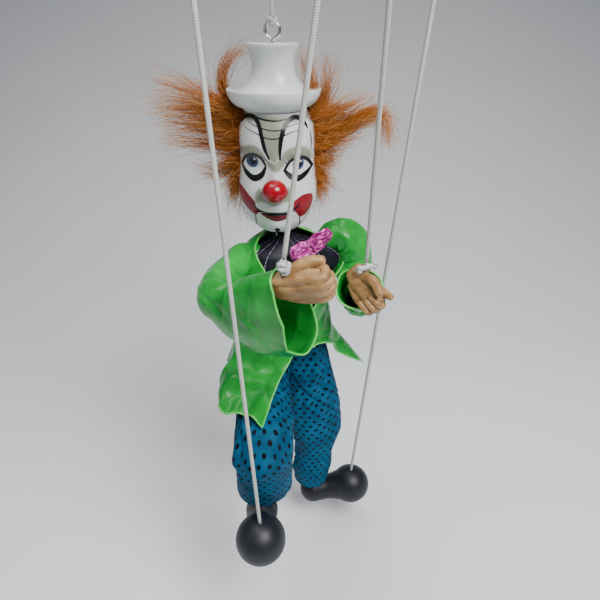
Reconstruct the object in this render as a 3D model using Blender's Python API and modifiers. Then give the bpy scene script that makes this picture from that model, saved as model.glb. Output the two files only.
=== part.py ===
"""Clown marionette: hand control, strings, head with moving jaw, jointed limbs and clothes.

Metres, +Z up, the puppet looks along -Y. The origin lies on the top face of the control's
main bar, straight above the head string. Places on the puppet are written in millimetres
from the middle of the hat's top, and at() brings them into the model's frame.
"""

import math
from dataclasses import dataclass

import bmesh
import bpy
import numpy as np
from mathutils import Matrix, Vector

MM = 0.001
GAP = 0.3 * MM

# Hand control
BAR_WIDTH = 12 * MM
BAR_DEPTH = 12 * MM
CROSS_WIDTH = 12 * MM
CROSS_DEPTH = 10 * MM
HEAD_DROP = 80 * MM
CONTROL_YAW = math.radians(20)
MAIN_BAR_BACK = 34 * MM
MAIN_BAR_FRONT = 128 * MM
LEG_BAR_AT = 79 * MM
LEG_HOLE_SIDE = 60 * MM
HAND_BAR_AT = 119 * MM
HAND_HOLE_SIDE = 10.6 * MM
BAR_END = 9 * MM
EDGE_ROUND = 1.2 * MM
SCREW_HEAD_D = 6 * MM
SCREW_SHANK_D = 3 * MM
SCREW_BITE = 7 * MM

# Strings and wire eyes
STRING_D = 2.5 * MM
STRING_HOLE_D = 3.6 * MM
KNOT_D = 6.2 * MM
KNOT_LENGTH = 6 * MM
STRING_TAIL = 4 * MM
TOE_HOLE_DEPTH = 6 * MM
WIRE_D = 1.4 * MM
EYE_RING_D = 6.6 * MM
HAND_EYE_RING_D = 5 * MM
EYE_SHANK = 7 * MM

# Hat, from its top downwards
HAT_HEIGHT = 36.5 * MM
HAT_CROWN_D = 31 * MM
HAT_WAIST_D = 27 * MM
HAT_BASE_D = 35 * MM
HAT_BRIM_D = 57 * MM
HAT_SEAT_D = 34 * MM
HAT_RIM_DROP = 25 * MM

# Head and jaw
HEAD_SIDE = 1.5 * MM
JAW_WIDTH = 28 * MM
JAW_HEIGHT = 17 * MM
JAW_BACK = 3.3 * MM
JAW_LEAN = math.radians(16)
MOUTH_GAP = 1 * MM
JAW_SWING_GAP = 1.1 * MM
JAW_PIN_D = 1.8 * MM
JAW_PIN_AHEAD = 5 * MM
JAW_PIN_BELOW_TOP = 2.5 * MM
ELASTIC_D = 1.6 * MM
ELASTIC_AHEAD = 12 * MM
ELASTIC_UP = 13 * MM
ELASTIC_DOWN = 6 * MM
NOSE_D = 17 * MM

# Trunk
TRUNK_YAW = math.radians(20)
CHEST_WIDTH = 50 * MM
CHEST_DEPTH = 32 * MM
WAIST_DOWEL_D = 12 * MM
DOWEL_SOCKET = 6 * MM
HIP_WIDTH = 46 * MM
HIP_DEPTH = 22 * MM
SHIRT_WALL = 0.9 * MM
SHIRT_BELOW = 12 * MM
CLOTH_WALL = 0.8 * MM

# Limbs
ROD_D = 9 * MM
THONG_D = 3 * MM
THONG_HOLE_DEPTH = 6 * MM
THIGH = 73 * MM
SHIN = 70 * MM
UPPER_ARM = 55 * MM
FOREARM = 58 * MM
SHOE_TOE_D = 35.6 * MM
SHOE_WAIST_D = 23 * MM
SHOE_HEEL_D = 25 * MM
SHOE_LENGTH = 67 * MM
ANKLE_RISE = 18 * MM
HAND_LENGTH = 31 * MM
HAND_WIDTH = 24 * MM
HAND_DEPTH = 15 * MM

HAT_TOP = Vector((0, 0, -BAR_DEPTH - HEAD_DROP))
UP = Vector((0, 0, 1))
FORWARD = Vector((math.sin(CONTROL_YAW), -math.cos(CONTROL_YAW), 0))
SIDEWAYS = Vector((math.cos(CONTROL_YAW), math.sin(CONTROL_YAW), 0))


def at(x, y, z):
    """A place given in millimetres from the middle of the hat's top."""
    return HAT_TOP + Vector((x, y, z)) * MM


TRUNK_AHEAD = Vector((math.sin(TRUNK_YAW), -math.cos(TRUNK_YAW), 0))
TRUNK_LEFT = Vector((math.cos(TRUNK_YAW), math.sin(TRUNK_YAW), 0))
HEAD_HEIGHT = 76.5 * MM
NECK_RISE = EYE_RING_D / 2 + WIRE_D
NECK_LINK = EYE_RING_D - WIRE_D - GAP
CHEST_DROP = HAT_HEIGHT + HEAD_HEIGHT + 2 * NECK_RISE + NECK_LINK
CHEST_TOP_Z = HAT_TOP.z - CHEST_DROP
BODY_DATUM = 127.3


def on_body(x, y, z):
    """A place below the neck, in millimetres, where the top of the chest has the height -BODY_DATUM."""
    return Vector((x, y, z + BODY_DATUM)) * MM + UP * CHEST_TOP_Z


TRUNK = on_body(4, 1, 0)
CHEST_FOOT_Z = on_body(0, 0, -186).z
HIP_TOP_Z = on_body(0, 0, -199).z
HIP_FOOT_Z = on_body(0, 0, -217).z
SHOULDER_SIDE = 39 * MM
SHOULDER_Z = on_body(0, 0, -131).z
HIP_SIDE = 18 * MM
HIP_JOINT_Z = on_body(0, 0, -230).z


@dataclass(frozen=True)
class Arm:
    """One arm: its side, wrist, elbow and hand directions, string eye and sleeve sizes in millimetres."""

    side: str
    sign: int
    wrist: Vector
    elbow_pole: Vector
    hand_ahead: Vector
    thumb_side: Vector
    eye_top: Vector
    sleeve_halves: tuple
    cuff_shift: Vector


@dataclass(frozen=True)
class Leg:
    """One leg: its side, toe ball, foot direction, hem height, and trouser sizes in millimetres."""

    side: str
    sign: int
    ball: Vector
    foot_ahead: Vector
    knee_pole: Vector
    hem_lift: float
    trouser_halves: tuple


ARMS = (
    Arm("right", -1, on_body(5, -95, -108), Vector((-0.67, -0.47, -0.58)), Vector((0.93, -0.3, 0.16)),
        Vector((0.25, 0.3, 0.92)), on_body(8, -99, -93),
        ((13.5, 13.5), (14, 14), (18, 14), (20, 14.5)), Vector((2, 5, -10))),
    Arm("left", 1, on_body(60, -35, -140), Vector((0.3, 0.1, -0.95)), Vector((0.55, -0.69, -0.47)),
        Vector((0.5, 0.1, 0.85)), on_body(58.5, -36, -124),
        ((13.5, 13.5), (13.5, 13.5), (13, 13), (12.5, 12.5)), Vector((-5, 1, -3))),
)
LEGS = (
    Leg("right", -1, on_body(-12, -98, -312), Vector((0.05, -0.94, 0.342)), Vector((0, -1, 0)), 8 * MM,
        ((16, 18), (17.3, 17), (22.5, 17), (18.5, 16))),
    Leg("left", 1, on_body(65, 14, -384), Vector((0.985, 0.03, 0.16)), Vector((1, 0.05, 0)), 2 * MM,
        ((16, 18), (17.3, 17), (22, 18.5), (15.5, 15.5))),
)

PARTS = None
CUTTERS = None
FINISHES = {
    "bare_wood": ((0.55, 0.36, 0.19), 0.55, 0.0),
    "limb_wood": ((0.62, 0.45, 0.27), 0.6, 0.0),
    "white_gloss": ((0.86, 0.86, 0.83), 0.25, 0.0),
    "face_paint": ((0.85, 0.85, 0.83), 0.35, 0.0),
    "black_paint": ((0.03, 0.03, 0.035), 0.45, 0.0),
    "orange_fur": ((0.75, 0.22, 0.02), 0.8, 0.0),
    "green_satin": ((0.2, 0.72, 0.08), 0.35, 0.0),
    "blue_cotton": ((0.02, 0.25, 0.38), 0.8, 0.0),
    "black_cotton": ((0.02, 0.02, 0.03), 0.8, 0.0),
    "pink_satin": ((0.75, 0.15, 0.5), 0.4, 0.0),
    "white_cord": ((0.82, 0.81, 0.76), 0.75, 0.0),
    "bright_wire": ((0.8, 0.8, 0.8), 0.2, 1.0),
    "leather": ((0.25, 0.13, 0.07), 0.7, 0.0),
    "rubber": ((0.1, 0.09, 0.08), 0.7, 0.0),
}


# Scene and materials
def start_scene():
    """Empty the scene and make one collection for the parts and one for the cutters."""
    global PARTS, CUTTERS
    for obj in list(bpy.data.objects):
        bpy.data.objects.remove(obj, do_unlink=True)
    PARTS = bpy.data.collections.new("clown_marionette")
    CUTTERS = bpy.data.collections.new("cutters")
    for collection in (PARTS, CUTTERS):
        bpy.context.scene.collection.children.link(collection)


def finish(name):
    """The named material, made when it is first asked for."""
    if name in bpy.data.materials:
        return bpy.data.materials[name]
    colour, roughness, metallic = FINISHES[name]
    material = bpy.data.materials.new(name)
    material.use_nodes = True
    shader = material.node_tree.nodes["Principled BSDF"]
    shader.inputs["Base Color"].default_value = (*colour, 1)
    shader.inputs["Roughness"].default_value = roughness
    shader.inputs["Metallic"].default_value = metallic
    return material


def add(name, data, look=None):
    """Put mesh or curve data in the scene: as a part with a look, or as a cutter without one."""
    obj = bpy.data.objects.new(name, data)
    if look is None:
        CUTTERS.objects.link(obj)
        obj.hide_render = True
        obj.display_type = "WIRE"
    else:
        PARTS.objects.link(obj)
        data.materials.append(finish(look))
    return obj


def pivot(name, place):
    """An empty on a joint's axis, to which the pieces of a moving body are parented."""
    empty = bpy.data.objects.new(name, None)
    empty.location = place
    empty.empty_display_size = 5 * MM
    PARTS.objects.link(empty)
    return empty


def carry(empty, *pieces):
    """Parent pieces to an empty and leave them where they are."""
    for piece in pieces:
        piece.parent = empty
        piece.matrix_parent_inverse = Matrix.Translation(-empty.location)


# Shapes
def mesh_from(bm, name):
    """Turn a bmesh into mesh data with smooth round faces."""
    mesh = bpy.data.meshes.new(name)
    bmesh.ops.recalc_face_normals(bm, faces=bm.faces)
    bm.to_mesh(mesh)
    bm.free()
    mesh.shade_smooth()
    mesh.set_sharp_from_angle(angle=math.radians(40))
    return mesh


def turn_to(direction, side=None):
    """The rotation whose Z axis is direction, with its X axis as near side as can be."""
    z = Vector(direction).normalized()
    x = Vector(side) if side is not None else z.orthogonal()
    x = (x - z * x.dot(z)).normalized()
    return Matrix((x, z.cross(x), z)).transposed().to_4x4()


def box(name, size, frame, look=None, rounding=0.0):
    """A block of the given size in a frame, with rounded edges."""
    bm = bmesh.new()
    bmesh.ops.create_cube(bm, size=1, matrix=frame @ Matrix.Diagonal((*size, 1)))
    obj = add(name, mesh_from(bm, name), look)
    if rounding:
        bevel = obj.modifiers.new("edges", "BEVEL")
        bevel.width = rounding
        bevel.segments = 2
    return obj


def cylinder(name, start, end, radius, look=None, sides=16):
    """A plain round bar between two places."""
    bm = bmesh.new()
    axis = end - start
    frame = Matrix.Translation((start + end) / 2) @ turn_to(axis)
    bmesh.ops.create_cone(bm, cap_ends=True, segments=sides, radius1=radius, radius2=radius,
                          depth=axis.length, matrix=frame)
    return add(name, mesh_from(bm, name), look)


def turned(name, profile, frame, look, steps=28):
    """A profile of (radius, height) pairs, top to bottom, turned round the frame's Z axis."""
    mesh = bpy.data.meshes.new(name)
    points = [(radius, 0, height) for radius, height in profile]
    mesh.from_pydata(points, [(i, i + 1) for i in range(len(points) - 1)], [])
    obj = add(name, mesh, look)
    obj.matrix_world = frame
    screw = obj.modifiers.new("turn", "SCREW")
    screw.steps = steps
    screw.render_steps = steps
    screw.use_merge_vertices = True
    screw.merge_threshold = 0.00001
    screw.use_smooth_shade = True
    return obj


def tube(name, points, radius, look, swell=None, resolution=1):
    """A round cord or wire through points, with an optional swelling factor at each."""
    curve = bpy.data.curves.new(name, "CURVE")
    curve.dimensions = "3D"
    curve.bevel_depth = radius
    curve.bevel_resolution = resolution
    curve.use_fill_caps = True
    spline = curve.splines.new("POLY")
    spline.points.add(len(points) - 1)
    for i, point in enumerate(points):
        spline.points[i].co = (*point, 1)
        spline.points[i].radius = swell[i] if swell else 1.0
    return add(name, curve, look)


def loft(name, rings, look=None, round_closed=True, capped=True):
    """A skin over rows of points of equal count, closed round each row and capped if asked."""
    bm = bmesh.new()
    rows = [[bm.verts.new(point) for point in ring] for ring in rings]
    count = len(rows[0])
    last = count if round_closed else count - 1
    for low, high in zip(rows, rows[1:]):
        for i in range(last):
            j = (i + 1) % count
            bm.faces.new((low[i], low[j], high[j], high[i]))
    if capped:
        bm.faces.new(rows[0])
        bm.faces.new(rows[-1])
    return add(name, mesh_from(bm, name), look)


def prism(name, outline, x_low, x_high):
    """A cutter: an outline of (y, z) pairs carried along X."""
    rows = [[Vector((x, y, z)) for y, z in outline] for x in (x_low, x_high)]
    return loft(name, rows)


def apply_boolean(obj, cutter, operation="DIFFERENCE"):
    """Cut, join or keep what obj shares with a cutter."""
    boolean = obj.modifiers.new(cutter.name, "BOOLEAN")
    boolean.operation = operation
    boolean.object = cutter
    boolean.solver = "EXACT"


def drill(obj, name, start, end, diameter):
    """Drill a round hole between two places."""
    sides = 10 if diameter < THONG_D * 2 else 20
    apply_boolean(obj, cylinder(name, start, end, diameter / 2, sides=sides))


def solidify(obj, wall):
    """Give an open skin its wall, half to each side."""
    modifier = obj.modifiers.new("wall", "SOLIDIFY")
    modifier.thickness = wall
    modifier.offset = 0
    modifier.use_even_offset = False


def oval(count, centre, across, ahead, half_across, half_ahead, power=2.0):
    """Points of a superellipse ring round a centre, in the plane of two directions."""
    angles = np.arange(count) * 2 * math.pi / count
    c, s = np.cos(angles), np.sin(angles)
    reach_c = np.sign(c) * np.abs(c) ** (2 / power) * half_across
    reach_s = np.sign(s) * np.abs(s) ** (2 / power) * half_ahead
    return [centre + across * float(a) + ahead * float(b) for a, b in zip(reach_c, reach_s)]


def wire_eye(name, seat, direction, side, ring_d=EYE_RING_D):
    """A screw eye of bent wire: a shank sunk below seat and an open ring above it."""
    direction = direction.normalized()
    side = (side - direction * side.dot(direction)).normalized()
    ring = ring_d / 2
    centre = seat + direction * (ring + WIRE_D)
    turn = np.radians(np.linspace(-90, 228, 12))
    loop = [centre + side * (ring * math.cos(a)) + direction * (ring * math.sin(a)) for a in turn]
    return tube(name, [seat - direction * EYE_SHANK, *loop], WIRE_D / 2, "bright_wire")


def eye_hole(obj, name, seat, direction):
    """The hole that a wire eye's shank is screwed into."""
    direction = direction.normalized()
    drill(obj, name, seat + direction * GAP, seat - direction * (EYE_SHANK + GAP),
          WIRE_D + 2 * GAP)


# Hand control and strings
def control_point(ahead, side, height):
    """A place on the control: ahead of and beside the head string, and above the hat's top."""
    return HAT_TOP + FORWARD * ahead + SIDEWAYS * side + UP * height


def string_line(foot, ahead, side):
    """The direction of a limb string and the place where it leaves the top of its bar."""
    top = control_point(ahead, side, HEAD_DROP - GAP)
    direction = (top - foot).normalized()
    return direction, top


def limb_string(name, foot, ahead, side, foot_knot):
    """A taut string: a stop knot above its bar, a straight run and, at a hand, a tied knot."""
    direction, top = string_line(foot, ahead, side)
    thick = KNOT_D / STRING_D
    rise = 3 * GAP
    marks = [(rise + KNOT_LENGTH + STRING_TAIL, 1.0), (rise + KNOT_LENGTH, 1.0),
             (rise + KNOT_LENGTH * 0.8, thick * 0.85), (rise + KNOT_LENGTH * 0.5, thick),
             (rise + KNOT_LENGTH * 0.2, thick * 0.85), (rise, 1.0)]
    points = [top + direction * height for height, _ in marks]
    swell = [size for _, size in marks]
    if foot_knot:
        knots = [(KNOT_LENGTH, 1.0), (KNOT_LENGTH * 0.8, thick * 0.85),
                 (KNOT_LENGTH * 0.5, thick), (KNOT_LENGTH * 0.2, thick * 0.85), (0, 0.9)]
    else:
        knots = [(GAP - TOE_HOLE_DEPTH, 1.0)]
    points += [foot + direction * height for height, _ in knots]
    swell += [size for _, size in knots]
    return tube(name, points, STRING_D / 2, "white_cord", swell)


def cross_bar(name, ahead, hole_side, feet):
    """A cross bar under the main bar, drilled for its two strings and its screw."""
    length = 2 * (hole_side + BAR_END)
    middle = control_point(ahead, 0, HEAD_DROP - GAP - CROSS_DEPTH / 2)
    frame = Matrix.Translation(middle) @ turn_to(UP, SIDEWAYS)
    bar = box(name, (length, CROSS_WIDTH, CROSS_DEPTH), frame, "bare_wood", EDGE_ROUND)
    for label, sign in (("right", -1), ("left", 1)):
        direction, top = string_line(feet[label], ahead, sign * hole_side)
        drill(bar, f"{name}_{label}_hole", top + direction * CROSS_DEPTH,
              top - direction * 2 * CROSS_DEPTH, STRING_HOLE_D)
    foot = control_point(ahead, 0, HEAD_DROP - GAP - CROSS_DEPTH)
    drill(bar, f"{name}_screw_hole", foot - UP * CROSS_DEPTH, foot + UP * 2 * CROSS_DEPTH,
          SCREW_SHANK_D + 2 * GAP)
    return bar


def control_screw(name, ahead, main_bar):
    """A round-headed wood screw that holds a cross bar up against the main bar."""
    foot = control_point(ahead, 0, HEAD_DROP - GAP - CROSS_DEPTH)
    shank = GAP + CROSS_DEPTH + SCREW_BITE
    drill(main_bar, f"{name}_hole", foot, foot + UP * (GAP + shank + GAP), SCREW_SHANK_D + 2 * GAP)
    head = SCREW_HEAD_D / 2
    profile = [(0, shank), (SCREW_SHANK_D / 2, shank), (SCREW_SHANK_D / 2, -GAP), (head, -GAP),
               (head * 0.8, -GAP - head * 0.4), (head * 0.4, -GAP - head * 0.6),
               (0, -GAP - head * 0.65)]
    return turned(name, profile, Matrix.Translation(foot), "bright_wire", steps=12)


def build_control(string_feet):
    """The main bar, its two cross bars, their screws and the head string's eye."""
    length = MAIN_BAR_BACK + MAIN_BAR_FRONT
    middle = control_point((MAIN_BAR_FRONT - MAIN_BAR_BACK) / 2, 0, HEAD_DROP + BAR_DEPTH / 2)
    frame = Matrix.Translation(middle) @ turn_to(UP, FORWARD)
    main_bar = box("control_main_bar", (length, BAR_WIDTH, BAR_DEPTH), frame, "bare_wood",
                   EDGE_ROUND)
    cross_bar("control_leg_bar", LEG_BAR_AT, LEG_HOLE_SIDE, string_feet["foot"])
    cross_bar("control_hand_bar", HAND_BAR_AT, HAND_HOLE_SIDE, string_feet["hand"])
    control_screw("control_leg_screw", LEG_BAR_AT, main_bar)
    control_screw("control_hand_screw", HAND_BAR_AT, main_bar)
    seat = control_point(0, 0, HEAD_DROP)
    eye_hole(main_bar, "head_eye_hole", seat, -UP)
    wire_eye("control_head_eye", seat, -UP, FORWARD)


def build_head_string():
    """The head string, tied at the control's eye and at the hat's eye."""
    reach = EYE_RING_D + 1.5 * WIRE_D + GAP
    top = control_point(0, 0, HEAD_DROP - reach)
    foot = HAT_TOP + UP * reach
    thick = KNOT_D / STRING_D
    marks = [(0, 0.9), (0.2, thick * 0.85), (0.5, thick), (0.8, thick * 0.85), (1, 1.0)]
    points = [top - UP * (KNOT_LENGTH * share) for share, _ in marks]
    points += [foot + UP * (KNOT_LENGTH * share) for share, _ in reversed(marks)]
    swell = [size for _, size in marks]
    return tube("head_string", points, STRING_D / 2, "white_cord", swell + swell[::-1])


# Head group
def build_hat():
    """The turned hat with its flared crown and saucer brim, and the eye in its top."""
    crown, waist, base = HAT_CROWN_D / 2, HAT_WAIST_D / 2, HAT_BASE_D / 2
    brim, seat = HAT_BRIM_D / 2, HAT_SEAT_D / 2
    rim = HAT_RIM_DROP
    profile = [(0, 0), (crown - 1.5 * MM, 0), (crown, -1.5 * MM), (crown - 0.6 * MM, -3.2 * MM),
               (waist + 0.6 * MM, -rim * 0.3), (waist, -rim * 0.45), (waist + 1.2 * MM, -rim * 0.65),
               (base, -rim - 0.5 * MM), (base + 5 * MM, -rim - 1.5 * MM),
               (brim - 1.6 * MM, -rim), (brim - 0.4 * MM, -rim - 0.3 * MM), (brim, -rim - 1.4 * MM),
               (brim - 1 * MM, -rim - 3.4 * MM), ((brim + seat) / 2, -rim - 7.5 * MM),
               (seat, -HAT_HEIGHT), (0, -HAT_HEIGHT)]
    hat = turned("hat", profile, Matrix.Translation(HAT_TOP), "white_gloss", steps=26)
    eye_hole(hat, "hat_eye_hole", HAT_TOP, UP)
    return hat, wire_eye("hat_eye", HAT_TOP, UP, Vector((1, 0, 0)))


# Drop below the hat, half width, front depth and back depth of the head, all in millimetres
HEAD_SECTIONS = (
    (0.3, 19.0, 19.0, 19.0), (8, 23.0, 23.4, 23.6), (20, 24.0, 23.8, 25.0), (30, 24.0, 22.4, 25.0),
    (38, 24.4, 23.6, 24.0), (50, 23.3, 24.6, 21.0), (56.5, 19.6, 24.2, 18.0), (63, 15.2, 22.6, 14.5),
    (70, 12.4, 19.6, 11.5), (74.5, 9.6, 15.0, 9.0), (HEAD_HEIGHT / MM, 7.0, 11.0, 7.0),
)


def head_rings(count=26):
    """The rings of the carved head: half ovals in front and behind, of unlike depth."""
    rings = []
    for drop, width, front, back in HEAD_SECTIONS:
        centre = HAT_TOP + Vector((HEAD_SIDE, 0, -HAT_HEIGHT - drop * MM))
        ring = []
        for i in range(count):
            angle = 2 * math.pi * i / count
            depth = front if math.sin(angle) < 0 else back
            ring.append(centre + Vector((width * math.cos(angle), depth * math.sin(angle), 0)) * MM)
        rings.append(ring)
    return rings


def jaw_outline(top_z, back, lean_clear):
    """The jaw block seen from the side: flat on top, its back leaning forward going down."""
    far, low = -45 * MM, HAT_TOP.z - HAT_HEIGHT - HEAD_HEIGHT - 9 * MM
    heel_z = top_z - 2 * JAW_PIN_BELOW_TOP
    foot = -back - (heel_z - low) * math.tan(JAW_LEAN) * lean_clear
    return [(far, top_z), (-back, top_z), (-back, heel_z), (foot, low), (far, low)]


def build_head():
    """The head with its jaw slot, the jaw on its pin, and the elastic that shuts it."""
    head = loft("head", head_rings(), "face_paint")
    nose_centre = at(1.2, -28.5, -79)
    bm = bmesh.new()
    bmesh.ops.create_uvsphere(bm, u_segments=16, v_segments=10, radius=NOSE_D / 2,
                              matrix=Matrix.Translation(nose_centre))
    apply_boolean(head, add("nose_ball", mesh_from(bm, "nose_ball")), "UNION")
    top_z = HAT_TOP.z - HAT_HEIGHT - HEAD_HEIGHT + JAW_HEIGHT
    half = JAW_WIDTH / 2
    slot = prism("jaw_slot", jaw_outline(top_z + MOUTH_GAP, JAW_BACK - JAW_SWING_GAP, 0.0),
                 HEAD_SIDE - half - GAP, HEAD_SIDE + half + GAP)
    apply_boolean(head, slot)
    jaw = loft("jaw", head_rings(), "face_paint")
    block = prism("jaw_block", jaw_outline(top_z, JAW_BACK, 1.0), HEAD_SIDE - half, HEAD_SIDE + half)
    apply_boolean(jaw, block, "INTERSECT")
    pin_at = Vector((HEAD_SIDE, -JAW_PIN_AHEAD, top_z - JAW_PIN_BELOW_TOP))
    pin_end = Vector((half + 1.4 * MM, 0, 0))
    pin = cylinder("jaw_pin", pin_at - pin_end, pin_at + pin_end, JAW_PIN_D / 2, "bright_wire", 10)
    reach = Vector((JAW_WIDTH, 0, 0))
    for piece in (head, jaw):
        drill(piece, f"{piece.name}_pin_hole", pin_at - reach, pin_at + reach, JAW_PIN_D + 2 * GAP)
    low = Vector((HEAD_SIDE, -ELASTIC_AHEAD, top_z - ELASTIC_DOWN))
    high = low + UP * (ELASTIC_DOWN + MOUTH_GAP + ELASTIC_UP)
    elastic = tube("jaw_elastic", [low, high], ELASTIC_D / 2, "rubber")
    for piece in (head, jaw):
        drill(piece, f"{piece.name}_elastic_hole", low - UP * GAP, high + UP * GAP,
              ELASTIC_D + 2 * GAP)
    return head, jaw, pin, elastic, pin_at


@dataclass(frozen=True)
class Lock:
    """One section of a tuft of hair: its middle and its half height and half depth."""

    middle: tuple
    half_high: float
    half_deep: float


HAIR_TUFTS = {
    "hair_right": ((1, 0, 0), (
        Lock((-23.6, 3, -66), 14, 10), Lock((-27, 4, -65), 24, 17), Lock((-33, 4, -58), 34, 21),
        Lock((-47, 3, -56), 36, 20), Lock((-60, 2, -51), 27, 15), Lock((-71, 1, -46), 16, 9),
        Lock((-79, 0, -43), 7, 4))),
    "hair_left": ((1, 0, 0), (
        Lock((26.6, 3, -66), 14, 10), Lock((30, 4, -63), 24, 17), Lock((36, 4, -52), 33, 20),
        Lock((46, 3, -51), 29, 18), Lock((56, 2, -50), 21, 13), Lock((65, 0, -49), 14, 9),
        Lock((72, -2, -53), 7, 4))),
    "hair_back": ((0, 1, 0), (
        Lock((1.5, 25.6, -63), 16, 12), Lock((1.5, 29, -66), 27, 20), Lock((1.5, 35, -72), 33, 25),
        Lock((1.5, 41, -75), 26, 19), Lock((1.5, 46, -77), 12, 9))),
}


def build_hair():
    """The three tufts of hair: ovals that swell and taper away from the head."""
    tufts = []
    for name, (outward, locks) in HAIR_TUFTS.items():
        across = UP.cross(Vector(outward))
        rings = [oval(14, at(*lock.middle), across, UP, lock.half_deep * MM, lock.half_high * MM)
                 for lock in locks]
        tufts.append(loft(name, rings, "orange_fur"))
    return tufts


# Trunk
def trunk_point(side, ahead, z):
    """A place on the trunk: beside and ahead of its middle, at a height."""
    place = TRUNK + TRUNK_LEFT * side + TRUNK_AHEAD * ahead
    return Vector((place.x, place.y, z))


def trunk_ring(z, half_width, half_depth, count=20, power=2.6):
    """A rounded ring about the trunk's upright axis."""
    return oval(count, trunk_point(0, 0, z), TRUNK_LEFT, TRUNK_AHEAD, half_width, half_depth, power)


def chest_sections(grow):
    """Rings of the chest from neck to waist, grown outwards for what is worn over it."""
    width, depth = CHEST_WIDTH / 2, CHEST_DEPTH / 2
    tall = CHEST_TOP_Z - CHEST_FOOT_Z
    shares = ((0, 0.6, 0.6), (0.03, 0.85, 0.82), (0.1, 0.96, 0.94), (0.3, 1.0, 1.0),
              (0.65, 0.93, 0.96), (1.0, 0.84, 0.88))
    return [trunk_ring(CHEST_TOP_Z - tall * drop + grow * (1.5 if drop < 0.2 else 0),
                       width * across + grow, depth * deep + grow)
            for drop, across, deep in shares]


def build_trunk():
    """The chest block, the hip block and the dowel between them."""
    chest = loft("chest_block", chest_sections(0.0), "limb_wood")
    tall = HIP_TOP_Z - HIP_FOOT_Z
    rings = [trunk_ring(HIP_TOP_Z - tall * drop, HIP_WIDTH / 2 * across, HIP_DEPTH / 2 * across)
             for drop, across in ((0, 0.85), (0.25, 1.0), (0.75, 1.0), (1.0, 0.85))]
    hips = loft("hip_block", rings, "limb_wood")
    low = trunk_point(0, 0, HIP_TOP_Z - DOWEL_SOCKET)
    high = trunk_point(0, 0, CHEST_FOOT_Z + DOWEL_SOCKET)
    cylinder("waist_dowel", low, high, WAIST_DOWEL_D / 2, "limb_wood")
    for block in (chest, hips):
        drill(block, f"{block.name}_socket", low - UP * GAP, high + UP * GAP, WAIST_DOWEL_D + 2 * GAP)
    return chest, hips


def build_shirt():
    """The shirt: a close skin over the chest, with holes for the neck eye and the arms."""
    grow = GAP + SHIRT_WALL / 2 + 0.2 * MM
    rings = chest_sections(grow)
    rings.append([point - UP * SHIRT_BELOW for point in rings[-1]])
    shirt = loft("shirt", rings, "black_cotton", capped=False)
    solidify(shirt, SHIRT_WALL)
    for arm in ARMS:
        shoulder = shoulder_of(arm)
        inward = -TRUNK_LEFT * arm.sign
        drill(shirt, f"shirt_{arm.side}_armhole", shoulder, shoulder + inward * SHOULDER_SIDE * 0.6,
              2 * ROD_D)
    return shirt


BOW_OUTLINE = ((0, 3.2), (5, 4.5), (14, 8.5), (18, 7), (18.5, 0), (18, -7), (14, -8.5), (5, -4.5),
               (0, -3.2), (-5, -4.5), (-14, -8.5), (-18, -7), (-18.5, 0), (-18, 7), (-14, 8.5), (-5, 4.5))
BOW_DEPTH = 5 * MM
BOW_SIDE = 8 * MM
BOW_AHEAD = 22 * MM
BOW_TILT = math.radians(24)


def build_bow_tie():
    """The bow tie: a flat bow set askew on the front of the collar."""
    across = TRUNK_LEFT * math.cos(BOW_TILT) + UP * math.sin(BOW_TILT)
    upright = UP * math.cos(BOW_TILT) - TRUNK_LEFT * math.sin(BOW_TILT)
    back = trunk_point(BOW_SIDE, BOW_AHEAD, on_body(0, 0, -122).z)
    rows = [[back + TRUNK_AHEAD * (BOW_DEPTH * level) + (across * u + upright * v) * (MM * size)
             for u, v in BOW_OUTLINE] for level, size in ((0, 0.85), (0.3, 1), (0.7, 1), (1, 0.85))]
    bow = loft("bow_tie", rows, "pink_satin")
    foot = trunk_point(BOW_SIDE, CHEST_DEPTH / 2 + 0.75 * MM, SHOULDER_Z - 0.5 * MM)
    knot = back + TRUNK_AHEAD * (BOW_DEPTH / 2)
    run = knot - foot
    rise = run.cross(TRUNK_LEFT).normalized()
    rings = [oval(10, foot + run * share, TRUNK_LEFT, rise, size * MM, size * MM)
             for share, size in ((0, 1.2), (0.15, 2.4), (1.0, 2.4))]
    apply_boolean(bow, loft("bow_band", rings), "UNION")
    return bow


# Jacket: height below the hat, half width and half depth, in millimetres, from neck to waist
JACKET_ROWS = ((120.9, 14, 12), (125.3, 23, 16.5), (130.6, 28.5, 20.5), (138, 29.5, 22), (152, 30, 24),
               (170, 32, 26), (186, 35, 27.5), (198, 38, 29))
JACKET_RIGHT_EDGE = ((120.9, -128), (152, -134), (170, -142), (198, -160))
JACKET_LEFT_EDGE = 133
JACKET_COLUMNS = 29
JACKET_TAIL_ROWS = 6
TAIL_LENGTH = 31 * MM
TAIL_FLARE = 9 * MM
TAIL_FOLD = 2.2 * MM
TAIL_FOLDS = 11
LEFT_TIP_FLARE = 17 * MM
THIGH_TAIL_REACH = 52 * MM
THIGH_TAIL_DROP = 23 * MM
ARMHOLE_D = 25 * MM


def smooth_step(value, low, high):
    """Rise smoothly from 0 at low to 1 at high."""
    share = min(1.0, max(0.0, (value - low) / (high - low)))
    return share * share * (3 - 2 * share)


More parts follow.
